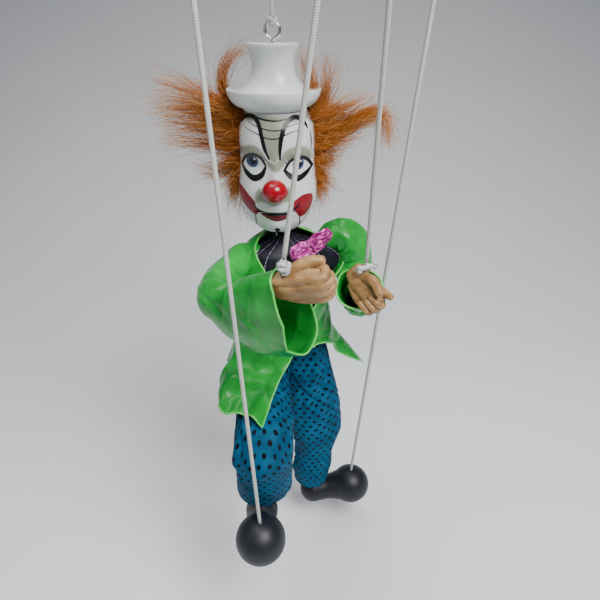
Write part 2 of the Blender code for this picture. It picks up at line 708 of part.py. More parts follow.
def jacket_column(share_round):
    """One upright line of the jacket, from the neck to the hem, at a share of the way round the back."""
    column = []
    edge_drops, edges = zip(*JACKET_RIGHT_EDGE)
    for drop, width, depth in JACKET_ROWS:
        edge = float(np.interp(drop, edge_drops, edges))
        angle = math.radians(edge + (JACKET_LEFT_EDGE - edge) * share_round)
        place = trunk_point(width * MM * math.sin(angle), -depth * MM * math.cos(angle),
                            on_body(0, 0, -drop).z)
        column.append(place)
    waist = column[-1]
    outward = (waist - trunk_point(0, 0, waist.z)).normalized()
    over_thigh = smooth_step(-angle, math.radians(82), math.radians(112))
    left_front = smooth_step(angle, math.radians(98), math.radians(128))
    left_tip = math.exp(-((math.degrees(angle) - 100) / 16) ** 2)
    for row in range(1, JACKET_TAIL_ROWS + 1):
        share = row / JACKET_TAIL_ROWS
        fold = TAIL_FOLD * math.sin(TAIL_FOLDS * angle) * share * (1 - over_thigh)
        flare = (TAIL_FLARE * (1 - over_thigh) + LEFT_TIP_FLARE * left_tip) * share
        fall = TAIL_LENGTH * share * (1 - 0.8 * left_front + 0.2 * left_tip)
        hung = waist + outward * (flare + fold) - UP * fall
        side_drop = max(0.0, on_body(-37, 0, 0).x - waist.x) * 0.9
        laid = waist + Vector((0, -THIGH_TAIL_REACH * share, 0))
        laid -= UP * (THIGH_TAIL_DROP * share + side_drop * share)
        laid += UP * (TAIL_FOLD * 0.6 * math.sin(3 * TAIL_FOLDS * angle) * share)
        column.append(hung.lerp(laid, over_thigh))
    return column


def build_jacket():
    """The open jacket: one folded cloth round the back, its right tail laid over the raised thigh."""
    shares = np.linspace(0, 1, JACKET_COLUMNS)
    jacket = loft("jacket", [jacket_column(float(share)) for share in shares], "green_satin",
                  round_closed=False, capped=False)
    solidify(jacket, CLOTH_WALL)
    for arm in ARMS:
        shoulder = shoulder_of(arm) - UP * 3 * MM
        outward = TRUNK_LEFT * arm.sign
        drill(jacket, f"jacket_{arm.side}_armhole", shoulder - outward * SHOULDER_SIDE * 0.6,
              shoulder + outward * 2 * ROD_D, ARMHOLE_D)
    return jacket


# Cloth tubes over the limbs
@dataclass(frozen=True)
class Stop:
    """A place on the middle line of a cloth tube, with its half width, half depth and fold."""

    place: Vector
    half_across: float
    half_ahead: float
    fold: float = 0.0


def rounded_path(stops, bend_radius, step):
    """Even places and directions along a line through stops whose corners are rounded."""
    places = [stop.place for stop in stops]
    path = [places[0]]
    for before, corner, after in zip(places, places[1:], places[2:]):
        back, on = (before - corner).normalized(), (after - corner).normalized()
        half = back.angle(on) / 2
        cut = min(bend_radius / math.tan(half), 0.45 * (before - corner).length,
                  0.45 * (after - corner).length)
        first, last = corner + back * cut, corner + on * cut
        for share in np.linspace(0, 1, 7):
            t = float(share)
            path.append(first * (1 - t) ** 2 + corner * 2 * t * (1 - t) + last * t * t)
    path.append(places[-1])
    line = np.array(path)
    along = np.concatenate([[0], np.cumsum(np.linalg.norm(np.diff(line, axis=0), axis=1))])
    marks = np.linspace(0, along[-1], max(8, round(along[-1] / step)))
    return [Vector([float(np.interp(mark, along, line[:, axis])) for axis in range(3)]) for mark in marks]


def stop_values(stops, place):
    """Half sizes and fold at a place, read between the two nearest stops."""
    best, found = None, stops[0]
    for low, high in zip(stops, stops[1:]):
        run = high.place - low.place
        share = min(1.0, max(0.0, (place - low.place).dot(run) / run.length_squared))
        miss = (low.place + run * share - place).length
        if best is None or miss < best:
            best = miss
            ease = share * share * (3 - 2 * share)
            found = [a + (b - a) * ease for a, b in zip(
                (low.half_across, low.half_ahead, low.fold),
                (high.half_across, high.half_ahead, high.fold))]
    return found


def cloth_tube(name, stops, look, across, bend_radius, folds, step=6 * MM, count=16):
    """A loose cloth tube along stops: folded round and along, and creased flat inside each bend."""
    path = rounded_path(stops, bend_radius, step)
    corners = [(b.place, ((b.place - a.place).normalized() + (c.place - b.place).normalized()).normalized())
               for a, b, c in zip(stops, stops[1:], stops[2:])]
    rings = []
    side = Vector(across)
    for i, middle in enumerate(path):
        ahead = (path[min(i + 1, len(path) - 1)] - path[max(i - 1, 0)]).normalized()
        side = (side - ahead * side.dot(ahead)).normalized()
        other = ahead.cross(side)
        half_across, half_ahead, fold = stop_values(stops, middle)
        ring = []
        for k in range(count):
            angle = 2 * math.pi * k / count
            ripple = 1 + fold * (math.sin(folds * angle + 0.9 * i) + 0.6 * math.sin(1.7 * i))
            place = (middle + side * (half_across * ripple * math.cos(angle))
                     + other * (half_ahead * ripple * math.sin(angle)))
            for corner, halving in corners:
                before = (middle - corner).dot(halving) < 0
                over = (place - corner).dot(halving)
                if (place - corner).length < 3 * max(half_across, half_ahead):
                    limit = -CLOTH_WALL if before else CLOTH_WALL
                    if (before and over > limit) or (not before and over < limit):
                        place = place - halving * (over - limit)
            ring.append(place)
        rings.append(ring)
    tube_object = loft(name, rings, look, capped=False)
    solidify(tube_object, CLOTH_WALL)
    return tube_object


# Limbs
def shoulder_of(arm):
    """The shoulder joint of an arm."""
    return trunk_point(arm.sign * SHOULDER_SIDE, 0, SHOULDER_Z)


def hip_of(leg):
    """The hip joint of a leg."""
    return trunk_point(leg.sign * HIP_SIDE, 0, HIP_JOINT_Z)


def bend_point(start, end, first, second, pole):
    """The middle joint of a two-rod limb, on the side that pole points to."""
    line = end - start
    reach = min(line.length, (first + second) * 0.9995)
    ahead = line.normalized()
    pole = (pole - ahead * pole.dot(ahead)).normalized()
    along = (first ** 2 - second ** 2 + reach ** 2) / (2 * reach)
    return start + ahead * along + pole * math.sqrt(max(first ** 2 - along ** 2, 0.0))


def elbow_of(arm):
    """The elbow joint of an arm."""
    return bend_point(shoulder_of(arm), arm.wrist, UPPER_ARM, FOREARM, arm.elbow_pole)


def shoe_frame(leg):
    """The heel's middle, the way the shoe points and its upward direction."""
    ahead = leg.foot_ahead.normalized()
    upward = (UP - ahead * UP.dot(ahead)).normalized()
    heel = leg.ball - ahead * (SHOE_LENGTH - SHOE_TOE_D / 2 - SHOE_HEEL_D / 2)
    return heel, ahead, upward


def ankle_of(leg):
    """The ankle joint, above the heel of the shoe."""
    heel, _, upward = shoe_frame(leg)
    return heel + upward * ANKLE_RISE


def knee_of(leg):
    """The knee joint of a leg."""
    return bend_point(hip_of(leg), ankle_of(leg), THIGH, SHIN, leg.knee_pole)


def toe_string_foot(leg):
    """Where the foot string meets the top of the toe."""
    return leg.ball + UP * (SHOE_TOE_D / 2)


def cut_back(start, joint, end, more_bend):
    """How far from a joint a rod's round end has its middle.

    It clears the folded cloth at rest, and its neighbour when the joint bends further.
    """
    bend = (joint - start).angle(end - joint)
    at_rest = (ROD_D / 2 + 3 * CLOTH_WALL) / math.cos(bend / 2)
    bent = (ROD_D / 2 + GAP) / math.cos((bend + more_bend) / 2)
    return max(at_rest, bent)


def limb_rod(name, start, end, start_cut, end_cut, end_bore=True):
    """A rod with round ends, drawn back from both joints and bored for their thongs."""
    axis = (end - start).normalized()
    a, b = start + axis * start_cut, end - axis * end_cut
    length, radius = (b - a).length, ROD_D / 2
    dome = [(radius * math.cos(t), radius * math.sin(t)) for t in np.radians([90, 60, 30, 0])]
    profile = [(r, length + h) for r, h in dome] + [(r, -h) for r, h in reversed(dome)]
    frame = Matrix.Translation(a) @ turn_to(axis)
    rod = turned(name, profile, frame, "limb_wood", steps=12)
    bore = THONG_D + 2 * GAP
    tip = ROD_D
    drill(rod, f"{name}_start_bore", a - axis * tip, a + axis * (THONG_HOLE_DEPTH - radius + GAP), bore)
    if end_bore:
        drill(rod, f"{name}_end_bore", b + axis * tip, b - axis * (THONG_HOLE_DEPTH - radius + GAP), bore)
    return rod


def thong(name, first_end, joint, second_end, cut):
    """A leather thong that bends at a joint and is sunk in the piece on each side of it."""
    clear = cut - ROD_D / 2 - GAP
    near = joint + (first_end - joint).normalized() * clear
    far = joint + (second_end - joint).normalized() * clear
    middle = near * 0.25 + joint * 0.5 + far * 0.25
    return tube(name, [first_end, near, middle, far, second_end], THONG_D / 2, "leather")


def thong_end(joint, neighbour, cut):
    """Where a thong ends inside the rod that runs from a joint to its neighbour."""
    axis = (neighbour - joint).normalized()
    return joint + axis * (cut - ROD_D / 2 + THONG_HOLE_DEPTH)


KNEE_MORE_BEND = {"right": math.radians(40), "left": math.radians(56)}
SHOULDER_CUT = 9 * MM
ANKLE_CUT = 8.5 * MM
HIP_CUT = 9 * MM
LEG_TOP_RISE = 9.5 * MM


def build_hand(arm, wrist, ahead):
    """A carved fist with its thumb, bored for the forearm rod, and the wire eye at its wrist."""
    thumb = (arm.thumb_side - ahead * arm.thumb_side.dot(ahead)).normalized()
    palm = ahead.cross(thumb)
    shares = ((-0.12, 0.45, 0.72), (0.2, 0.5, 0.86), (0.36, 0.9, 1.0), (0.58, 1.0, 1.0),
              (0.8, 0.94, 0.92), (0.95, 0.72, 0.7), (1.0, 0.5, 0.45))
    rings = [oval(18, wrist + ahead * (HAND_LENGTH * along), palm, thumb, HAND_DEPTH / 2 * deep,
                  HAND_WIDTH / 2 * wide, 2.5) for along, wide, deep in shares]
    hand = loft(f"hand_{arm.side}", rings, "bare_wood")
    root = wrist + ahead * (HAND_LENGTH * 0.42) + thumb * (HAND_WIDTH * 0.4)
    tip = root + ahead * (HAND_LENGTH * 0.52) + thumb * (HAND_WIDTH * 0.16)
    run = tip - root
    thick = 4 * MM
    joints = [oval(10, root + run * share, palm, run.normalized().cross(palm), thick * size, thick * size)
              for share, size in ((-0.1, 0.7), (0.1, 1.0), (0.6, 1.0), (0.9, 0.8), (1.0, 0.45))]
    apply_boolean(hand, loft(f"thumb_{arm.side}", joints), "UNION")
    return hand


def build_arm(arm):
    """Both rods of an arm, their thongs, the hand, its eye, its string and the sleeve."""
    shoulder, elbow, wrist = shoulder_of(arm), elbow_of(arm), arm.wrist
    cut = cut_back(shoulder, elbow, wrist, 0)
    side = arm.side
    upper = limb_rod(f"upper_arm_{side}", shoulder, elbow, SHOULDER_CUT, cut)
    fore = limb_rod(f"forearm_{side}", elbow, wrist, cut, 0, end_bore=False)
    chest_side = trunk_point(arm.sign * (CHEST_WIDTH / 2 - THONG_HOLE_DEPTH), 0, SHOULDER_Z)
    first = thong(f"shoulder_thong_{side}", chest_side, shoulder, thong_end(shoulder, elbow, SHOULDER_CUT),
                  SHOULDER_CUT)
    second = thong(f"elbow_thong_{side}", thong_end(elbow, shoulder, cut), elbow, thong_end(elbow, wrist, cut),
                   cut)
    drill(bpy.data.objects["chest_block"], f"shoulder_{side}_bore",
          shoulder, chest_side - TRUNK_LEFT * (arm.sign * GAP), THONG_D + 2 * GAP)
    hand = build_hand(arm, wrist, arm.hand_ahead.normalized())
    axis = (wrist - elbow).normalized()
    drill(hand, f"hand_{side}_socket", wrist - axis * HAND_LENGTH,
          wrist + axis * (ROD_D / 2 + GAP), ROD_D + 2 * GAP)
    rise = (arm.eye_top - wrist).normalized()
    seat = arm.eye_top - rise * (HAND_EYE_RING_D + 2 * WIRE_D)
    eye = wire_eye(f"hand_eye_{side}", seat, rise, Vector((1, 0, 0)), HAND_EYE_RING_D)
    for piece in (hand, fore):
        eye_hole(piece, f"{piece.name}_eye_hole", seat, rise)
    string = limb_string(f"hand_string_{side}", arm.eye_top, HAND_BAR_AT, arm.sign * HAND_HOLE_SIDE, True)
    start = trunk_point(arm.sign * (SHOULDER_SIDE - 5 * MM), 0, SHOULDER_Z - 3 * MM)
    out = start + TRUNK_LEFT * (arm.sign * 12 * MM) - UP * MM
    low_elbow = elbow - UP * 4 * MM + arm.cuff_shift * (0.3 * MM)
    cuff = wrist.lerp(elbow, 0.1) + arm.cuff_shift * MM
    stops = [Stop(place, high * MM, wide * MM, fold) for place, (high, wide), fold in
             zip((start, out, low_elbow, cuff), arm.sleeve_halves, (0.02, 0.04, 0.04, 0.03))]
    sleeve = cloth_tube(f"sleeve_{side}", stops, "green_satin", UP, 7 * MM, 5)
    return {"upper_arm": (upper, first), "forearm": (fore, second, hand, eye), "string": (string,)}, sleeve


def build_shoe(leg):
    """The turned shoe, bored for the ankle thong and for its string."""
    heel, ahead, upward = shoe_frame(leg)
    toe, waist, back = SHOE_TOE_D / 2, SHOE_WAIST_D / 2, SHOE_HEEL_D / 2
    span = SHOE_LENGTH - toe - back
    ball = [(toe * math.cos(t), span + toe * math.sin(t)) for t in np.radians([90, 70, 50, 30, 10, -10, -30])]
    heel_arc = [(back * math.cos(t), back * math.sin(t)) for t in np.radians([20, -10, -40, -65, -90])]
    profile = ball + [(waist + 1 * MM, span * 0.52), (waist, span * 0.36)] + heel_arc
    frame = Matrix.Translation(heel) @ turn_to(ahead, upward)
    shoe = turned(f"shoe_{leg.side}", profile, frame, "black_paint", steps=20)
    drill(shoe, f"shoe_{leg.side}_ankle_bore", heel + upward * back * 2,
          heel + upward * (back - THONG_HOLE_DEPTH - GAP), THONG_D + 2 * GAP)
    foot = toe_string_foot(leg)
    direction, _ = string_line(foot, LEG_BAR_AT, leg.sign * LEG_HOLE_SIDE)
    drill(shoe, f"shoe_{leg.side}_string_bore", foot + direction * TOE_HOLE_DEPTH,
          foot - direction * TOE_HOLE_DEPTH, STRING_D + 2 * GAP)
    return shoe


def build_leg(leg):
    """Both rods of a leg, their thongs, the shoe, its string and the trouser leg."""
    hip, knee, ankle, side = hip_of(leg), knee_of(leg), ankle_of(leg), leg.side
    cut = cut_back(hip, knee, ankle, KNEE_MORE_BEND[side])
    heel, _, upward = shoe_frame(leg)
    thigh = limb_rod(f"thigh_{side}", hip, knee, HIP_CUT, cut)
    shin = limb_rod(f"shin_{side}", knee, ankle, cut, ANKLE_CUT)
    hip_top = Vector((hip.x, hip.y, HIP_FOOT_Z + THONG_HOLE_DEPTH))
    first = thong(f"hip_thong_{side}", hip_top, hip, thong_end(hip, knee, HIP_CUT), HIP_CUT)
    drill(bpy.data.objects["hip_block"], f"hip_{side}_bore", hip, hip_top + UP * GAP, THONG_D + 2 * GAP)
    second = thong(f"knee_thong_{side}", thong_end(knee, hip, cut), knee, thong_end(knee, ankle, cut), cut)
    sole_end = heel + upward * (SHOE_HEEL_D / 2 - THONG_HOLE_DEPTH)
    third = thong(f"ankle_thong_{side}", thong_end(ankle, knee, ANKLE_CUT), ankle, sole_end, ANKLE_CUT)
    shoe = build_shoe(leg)
    string = limb_string(f"foot_string_{side}", toe_string_foot(leg), LEG_BAR_AT,
                         leg.sign * LEG_HOLE_SIDE, False)
    top = hip + UP * LEG_TOP_RISE
    hem = ankle + (knee - ankle).normalized() * leg.hem_lift
    stops = [Stop(place, wide * MM, deep * MM, fold) for place, (wide, deep), fold in
             zip((top, hip - UP * 6 * MM, knee - UP * 4 * MM, hem), leg.trouser_halves, (0.01, 0.02, 0.06, 0.05))]
    trouser = cloth_tube(f"trouser_leg_{side}", stops, "blue_cotton", TRUNK_LEFT, 9 * MM, 4, step=7 * MM)
    pieces = {"thigh": (thigh, first), "shin": (shin, second), "shoe": (shoe, third), "string": (string,)}
    return pieces, trouser


def build_trouser_seat():
    """The trouser seat: a band of cloth from the waist to the tops of the legs."""
    rings = [trunk_ring(on_body(0, 0, -drop).z, width * MM, depth * MM, count=22)
             for drop, width, depth in ((196, 25, 16.2), (201, 31, 19), (208, 33, 20), (214, 34, 20.5))]
    low_z = HIP_JOINT_Z + LEG_TOP_RISE + GAP
    for point in rings[-1]:
        ahead = (point - TRUNK).dot(TRUNK_AHEAD)
        point.z = low_z + (point.z - low_z) * smooth_step(ahead, 2 * MM, 14 * MM)
    seat = loft("trouser_seat", rings, "blue_cotton", capped=False)
    solidify(seat, CLOTH_WALL)
    return seat


def build_neck(head, chest):
    """The two linked wire eyes that hang the chest from the head."""
    head_seat = HAT_TOP - UP * (HAT_HEIGHT + HEAD_HEIGHT)
    upper = wire_eye("head_neck_eye", head_seat, -UP, Vector((0, 1, 0)))
    eye_hole(head, "head_neck_hole", head_seat, -UP)
    chest_seat = Vector((head_seat.x, head_seat.y, CHEST_TOP_Z))
    lower = wire_eye("chest_neck_eye", chest_seat, UP, Vector((1, 0, 0)))
    eye_hole(chest, "chest_neck_hole", chest_seat, UP)
    return upper, lower


def build():
    """Build every piece and parent the moving ones to empties on their joints."""
    start_scene()
    feet = {"hand": {arm.side: arm.eye_top for arm in ARMS},
            "foot": {leg.side: toe_string_foot(leg) for leg in LEGS}}
    build_control(feet)
    build_head_string()
    hat, hat_eye = build_hat()
    head, jaw, jaw_pin, elastic, jaw_at = build_head()
    chest, _ = build_trunk()
    neck_eye, _ = build_neck(head, chest)
    carry(pivot("head_turn", HAT_TOP), hat, hat_eye, head, jaw_pin, elastic, neck_eye, *build_hair())
    carry(pivot("jaw_hinge", jaw_at), jaw)
    build_shirt()
    build_bow_tie()
    build_jacket()
    build_trouser_seat()
    for arm in ARMS:
        pieces, sleeve = build_arm(arm)
        carry(pivot(f"shoulder_{arm.side}", shoulder_of(arm)), *pieces["upper_arm"], sleeve)
        carry(pivot(f"elbow_{arm.side}", elbow_of(arm)), *pieces["forearm"])
        carry(pivot(f"hand_string_{arm.side}_slide", arm.eye_top), *pieces["string"])
    for leg in LEGS:
        pieces, trouser = build_leg(leg)
        carry(pivot(f"hip_{leg.side}", hip_of(leg)), *pieces["thigh"], trouser)
        carry(pivot(f"knee_{leg.side}", knee_of(leg)), *pieces["shin"])
        carry(pivot(f"ankle_{leg.side}", ankle_of(leg)), *pieces["shoe"])
        carry(pivot(f"foot_string_{leg.side}_slide", toe_string_foot(leg)), *pieces["string"])


build()
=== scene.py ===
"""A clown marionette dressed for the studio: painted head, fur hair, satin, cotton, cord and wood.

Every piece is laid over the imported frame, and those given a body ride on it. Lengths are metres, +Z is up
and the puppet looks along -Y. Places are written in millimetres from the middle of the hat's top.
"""

import logging
import math
from dataclasses import dataclass
from enum import Enum
from typing import Callable, Mapping, Sequence, Union

import bmesh
import bpy
import numpy as np
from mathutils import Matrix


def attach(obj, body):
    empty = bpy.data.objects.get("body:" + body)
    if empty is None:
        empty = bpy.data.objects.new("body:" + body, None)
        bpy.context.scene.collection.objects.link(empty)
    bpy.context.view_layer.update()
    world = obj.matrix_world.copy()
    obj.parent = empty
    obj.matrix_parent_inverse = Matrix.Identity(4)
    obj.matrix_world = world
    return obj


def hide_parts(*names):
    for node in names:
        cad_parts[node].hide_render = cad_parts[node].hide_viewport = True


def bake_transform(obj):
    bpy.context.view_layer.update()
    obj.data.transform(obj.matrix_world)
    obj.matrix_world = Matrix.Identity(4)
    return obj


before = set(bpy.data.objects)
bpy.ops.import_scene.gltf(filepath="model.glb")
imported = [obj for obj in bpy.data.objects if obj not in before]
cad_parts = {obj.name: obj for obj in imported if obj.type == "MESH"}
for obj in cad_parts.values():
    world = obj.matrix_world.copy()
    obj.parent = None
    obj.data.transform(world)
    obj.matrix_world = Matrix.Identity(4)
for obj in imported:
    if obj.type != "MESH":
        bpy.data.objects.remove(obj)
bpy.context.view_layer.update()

Array = np.ndarray
Arrays = tuple[Array, Array]
Grid = tuple[Array, Array]
Piece = bpy.types.Object
Material = bpy.types.Material
Pair = tuple[float, float]
Triple = tuple[float, float, float]
Colour = Triple
log = logging.getLogger("marionette")

MM = 0.001
TURN = 2 * math.pi
UP = np.array((0.0, 0.0, 1.0))
HAT_TOP = np.array((0.0, 0.0, -0.092))
YAW = math.radians(20)
AHEAD = np.array((math.sin(YAW), -math.cos(YAW), 0.0))
LEFTWARD = np.array((math.cos(YAW), math.sin(YAW), 0.0))
TRUNK_AXIS = np.array((4.0, 1.0, 0.0))
CONTROL_HEIGHT = 80.0
CORD_DIAMETER = 2.5
HAT_DEPTH = 36.5
HEAD_MIDDLE = 1.5
TOE_REACH = 36.7
SPOT_PITCH = 6.2
CLOTH_WALL = 0.7 * MM
HEM_RADIUS = 0.7 * MM
FAR_OFF = 99.0


class Body(str, Enum):
    """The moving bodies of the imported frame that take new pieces."""

    TRUNK = "control_and_trunk"
    HEAD = "head"
    JAW = "jaw"


class Side(str, Enum):
    """The puppet's own right and left."""

    RIGHT = "right"
    LEFT = "left"

    @property
    def sign(self) -> int:
        """-1 on the right and 1 on the left."""
        return -1 if self is Side.RIGHT else 1


# Numbers and curves
def at(x: float, y: float, z: float) -> Array:
    """A place given in millimetres from the middle of the hat's top."""
    return HAT_TOP + np.array((x, y, z), float) * MM


def trunk_at(side: Array, ahead: Array, drop: Array) -> Array:
    """Places on the trunk, in millimetres: beside and ahead of its upright axis, below the hat's top."""
    side, ahead, drop = np.broadcast_arrays(np.asarray(side, float), ahead, drop)
    flat = side[..., None] * LEFTWARD + ahead[..., None] * AHEAD
    return HAT_TOP + (TRUNK_AXIS + flat - drop[..., None] * UP) * MM


def unit(vectors: Array) -> Array:
    """Vectors scaled to length one along the last axis."""
    return vectors / np.maximum(np.linalg.norm(vectors, axis=-1, keepdims=True), 1e-12)


def ease(values: Array, low: float, high: float) -> Array:
    """A smooth rise from 0 at low to 1 at high: t*t*(3 - 2t)."""
    share = np.clip((np.asarray(values, float) - low) / (high - low), 0, 1)
    return share * share * (3 - 2 * share)


def bell(values: Array, width: float) -> Array:
    """A bump exp(-(x / width)^2)."""
    return np.exp(-((np.asarray(values, float) / width) ** 2))


def through(knots: Sequence[float], values: Array, query: Array) -> Array:
    """A cubic curve through knots, with slopes from their neighbours.

    Args:
        knots: Rising places of the known values.
        values: The values there, of shape (K,) or (K, D).
        query: Places to read the curve at.

    Returns:
        The values at the query places.
    """
    x, y = np.asarray(knots, float), np.asarray(values, float)
    q = np.clip(np.asarray(query, float), x[0], x[-1])
    slope = np.gradient(y, x, axis=0)
    k = np.clip(np.searchsorted(x, q, side="right") - 1, 0, len(x) - 2)
    h = x[k + 1] - x[k]
    t = (q - x[k]) / h
    if y.ndim > 1:
        h, t = h[..., None], t[..., None]
    a, b = y[k], y[k + 1]
    return (a * (1 + 2 * t) * (1 - t) ** 2 + slope[k] * h * t * (1 - t) ** 2
            + b * t * t * (3 - 2 * t) + slope[k + 1] * h * t * t * (t - 1))


def turns(count: int) -> Array:
    """Even angles round a circle, the last of them short of the first."""
    return np.arange(count) * TURN / count


def run_along(path: Array) -> Array:
    """The length from the start of a path to each of its places."""
    return np.concatenate([[0], np.cumsum(np.linalg.norm(np.diff(path, axis=0), axis=1))])


def evenly(path: Array, count: int) -> Array:
    """A path read again at evenly spaced places along its length."""
    along = run_along(path)
    marks = np.linspace(0, along[-1], count)
    return np.stack([np.interp(marks, along, path[:, axis]) for axis in range(3)], axis=-1)


def rounded(places: Array, radius: float, count: int) -> Array:
    """A path through places whose corners are replaced by parabolas of about the given radius."""
    pieces = [places[:1]]
    for before, corner, after in zip(places, places[1:], places[2:]):
        back, on = before - corner, after - corner
        half = math.acos(np.clip(unit(back) @ unit(on), -1, 1)) / 2
        cut = min(radius / math.tan(half), 0.45 * np.linalg.norm(back), 0.45 * np.linalg.norm(on))
        t = np.linspace(0, 1, 15)[:, None]
        pieces.append((corner + unit(back) * cut) * (1 - t) ** 2 + corner * 2 * t * (1 - t)
                      + (corner + unit(on) * cut) * t * t)
    pieces.append(places[-1:])
    return evenly(np.concatenate(pieces), count)


def frames(path: Array, side: Array) -> Arrays:
    """Two directions across a path, at each of its places, that turn as little as can be."""
    along = unit(np.gradient(path, axis=0))
    across = np.empty_like(path)
    held = np.asarray(side, float)
    for i, direction in enumerate(along):
        held = unit(held - direction * (held @ direction))
        across[i] = held
    return across, np.cross(along, across)


def skin_normals(points: Array, wrap: bool) -> Array:
    """Unit normals of a grid of points, from the cross product of its two gradients."""
    if wrap:
        across = np.roll(points, -1, axis=1) - np.roll(points, 1, axis=1)
    else:
        across = np.gradient(points, axis=1)
    return unit(np.cross(across, np.gradient(points, axis=0)))


# Meshes
def uv_grid(u: Array, v: Array) -> Array:
    """Surface coordinates over a grid: u along each row, v from row to row."""
    return np.stack(np.meshgrid(u, v), axis=-1)


def grid_quads(points: Array, uv: Array, wrap: bool, start: int = 0) -> Arrays:
    """The quads over a grid of points.

    Args:
        points: Places of shape (rows, columns, 3).
        uv: Surface coordinates of shape (rows, columns, 2), one column more where the rows close.
        wrap: True where each row closes on itself.
        start: The number of the first point.

    Returns:
        The quads' point numbers and the surface coordinates of their corners.
    """
    rows, columns = points.shape[:2]
    index = np.arange(rows * columns).reshape(rows, columns) + start
    left = index if wrap else index[:, :-1]
    right = np.roll(index, -1, axis=1) if wrap else index[:, 1:]
    quads = np.stack([left[:-1], right[:-1], right[1:], left[1:]], axis=-1).reshape(-1, 4)
    corners = np.stack([uv[:-1, :-1], uv[:-1, 1:], uv[1:, 1:], uv[1:, :-1]], axis=2).reshape(-1, 4, 2)
    return quads, corners


def grid_mesh(name: str, points: Array, uv: Array, wrap: bool = False) -> Piece:
    """A sheet of quads over one grid, or an open tube where its rows close, at the origin."""
    return quads_mesh(name, points.reshape(-1, 3), *grid_quads(points, uv, wrap))


def closed_mesh(name: str, *grids: Grid) -> Piece:
    """One closed mesh from grids of points and surface coordinates whose rows close."""
    places, quads, corners, start = [], [], [], 0
    for points, uv in grids:
        faces, marks = grid_quads(points, uv, True, start)
        places.append(points.reshape(-1, 3))
        quads.append(faces)
        corners.append(marks)
        start += points.shape[0] * points.shape[1]
    return welded(quads_mesh(name, np.concatenate(places), np.concatenate(quads), np.concatenate(corners)))


def quads_mesh(name: str, places: Array, quads: Array, corners: Array) -> Piece:
    """A smooth-shaded mesh from vertex places, quads of indices and their corner coordinates."""
    mesh = bpy.data.meshes.new(name)
    mesh.vertices.add(len(places))
    mesh.vertices.foreach_set("co", np.ascontiguousarray(places, np.float32).ravel())
    mesh.loops.add(quads.size)
    mesh.loops.foreach_set("vertex_index", np.ascontiguousarray(quads, np.int32).ravel())
    mesh.polygons.add(len(quads))
    mesh.polygons.foreach_set("loop_start", np.arange(0, quads.size, 4, dtype=np.int32))
    layer = mesh.uv_layers.new(name="surface")
    mesh.update(calc_edges=True)
    layer.data.foreach_set("uv", np.ascontiguousarray(corners, np.float32).ravel())
    mesh.shade_smooth()
    piece = bpy.data.objects.new(name, mesh)
    bpy.context.scene.collection.objects.link(piece)
    return piece


def welded(piece: Piece) -> Piece:
    """Close the seams and poles of a piece and turn its faces outwards."""
    bm = bmesh.new()
    bm.from_mesh(piece.data)
    bmesh.ops.remove_doubles(bm, verts=bm.verts, dist=1e-7)
    bmesh.ops.dissolve_degenerate(bm, edges=bm.edges, dist=1e-8)
    bmesh.ops.recalc_face_normals(bm, faces=bm.faces)
    bm.to_mesh(piece.data)
    bm.free()
    piece.data.shade_smooth()
    return piece


def baked(piece: Piece) -> Piece:
    """Apply a piece's modifiers to its mesh."""
    bpy.context.view_layer.update()
    shown = piece.evaluated_get(bpy.context.evaluated_depsgraph_get())
    mesh = bpy.data.meshes.new_from_object(shown)
    piece.modifiers.clear()
    piece.data = mesh
    mesh.shade_smooth()
    return piece


def store_hollows(piece: Piece, rounds: int = 9) -> None:
    """Store each vertex's depth in a hollow, in millimetres: how far a smoothed skin stands over it."""
    mesh = piece.data
    count = len(mesh.vertices)
    place, normal = np.empty(count * 3, np.float32), np.empty(count * 3, np.float32)
    mesh.vertices.foreach_get("co", place)
    mesh.vertices.foreach_get("normal", normal)
    ends = np.empty(len(mesh.edges) * 2, np.int32)
    mesh.edges.foreach_get("vertices", ends)
    a, b = ends.reshape(-1, 2).T
    place, normal = place.reshape(-1, 3).astype(float), normal.reshape(-1, 3)
    near = np.maximum(np.bincount(a, minlength=count) + np.bincount(b, minlength=count), 1)[:, None]
    soft = place
    for _ in range(rounds):
        sums = [np.bincount(a, soft[b, k], count) + np.bincount(b, soft[a, k], count) for k in range(3)]
        soft = np.stack(sums, axis=-1) / near
    depth = ((soft - place) * normal).sum(axis=-1) / MM
    mesh.attributes.new("hollow", "FLOAT", "POINT").data.foreach_set("value", depth.astype(np.float32))


def tube_grid(path: Array, radius: float | Array, around: int, side: Array) -> Grid:
    """A round tube along a path, both ends closed by a row that shrinks to the middle line.

    Args:
        path: The middle line.
        radius: One radius or one for each place.
        around: Points in each circle.
        side: A direction across the start of the path.

    Returns:
        The grid of points and its surface coordinates, in turns and millimetres.
    """
    across, other = frames(path, side)
    radii = np.broadcast_to(np.asarray(radius, float), (len(path),))
    path, across, other = (np.concatenate([row[:1], row, row[-1:]]) for row in (path, across, other))
    radii = np.concatenate([[0], radii, [0]])[:, None]
    turn = turns(around)
    points = (path[:, None] + across[:, None] * (radii * np.cos(turn))[..., None]
              + other[:, None] * (radii * np.sin(turn))[..., None])
    return points, uv_grid(np.linspace(0, 1, around + 1), run_along(path) / MM)


def lathe_grid(profile: Array, centre: Array, axis: Array, side: Array, around: int) -> Grid:
    """A turned form: a profile of (radius, height) carried round an axis, u round and v along."""
    axis, side = unit(np.asarray(axis, float)), np.asarray(side, float)
    across = unit(side - axis * (side @ axis))
    turn = turns(around)[:, None]
    ring = np.cos(turn) * across + np.sin(turn) * np.cross(axis, across)
    points = centre + profile[:, 1, None, None] * axis + profile[:, 0, None, None] * ring
    return points, uv_grid(np.linspace(0, 1, around + 1), run_along(profile) / MM)


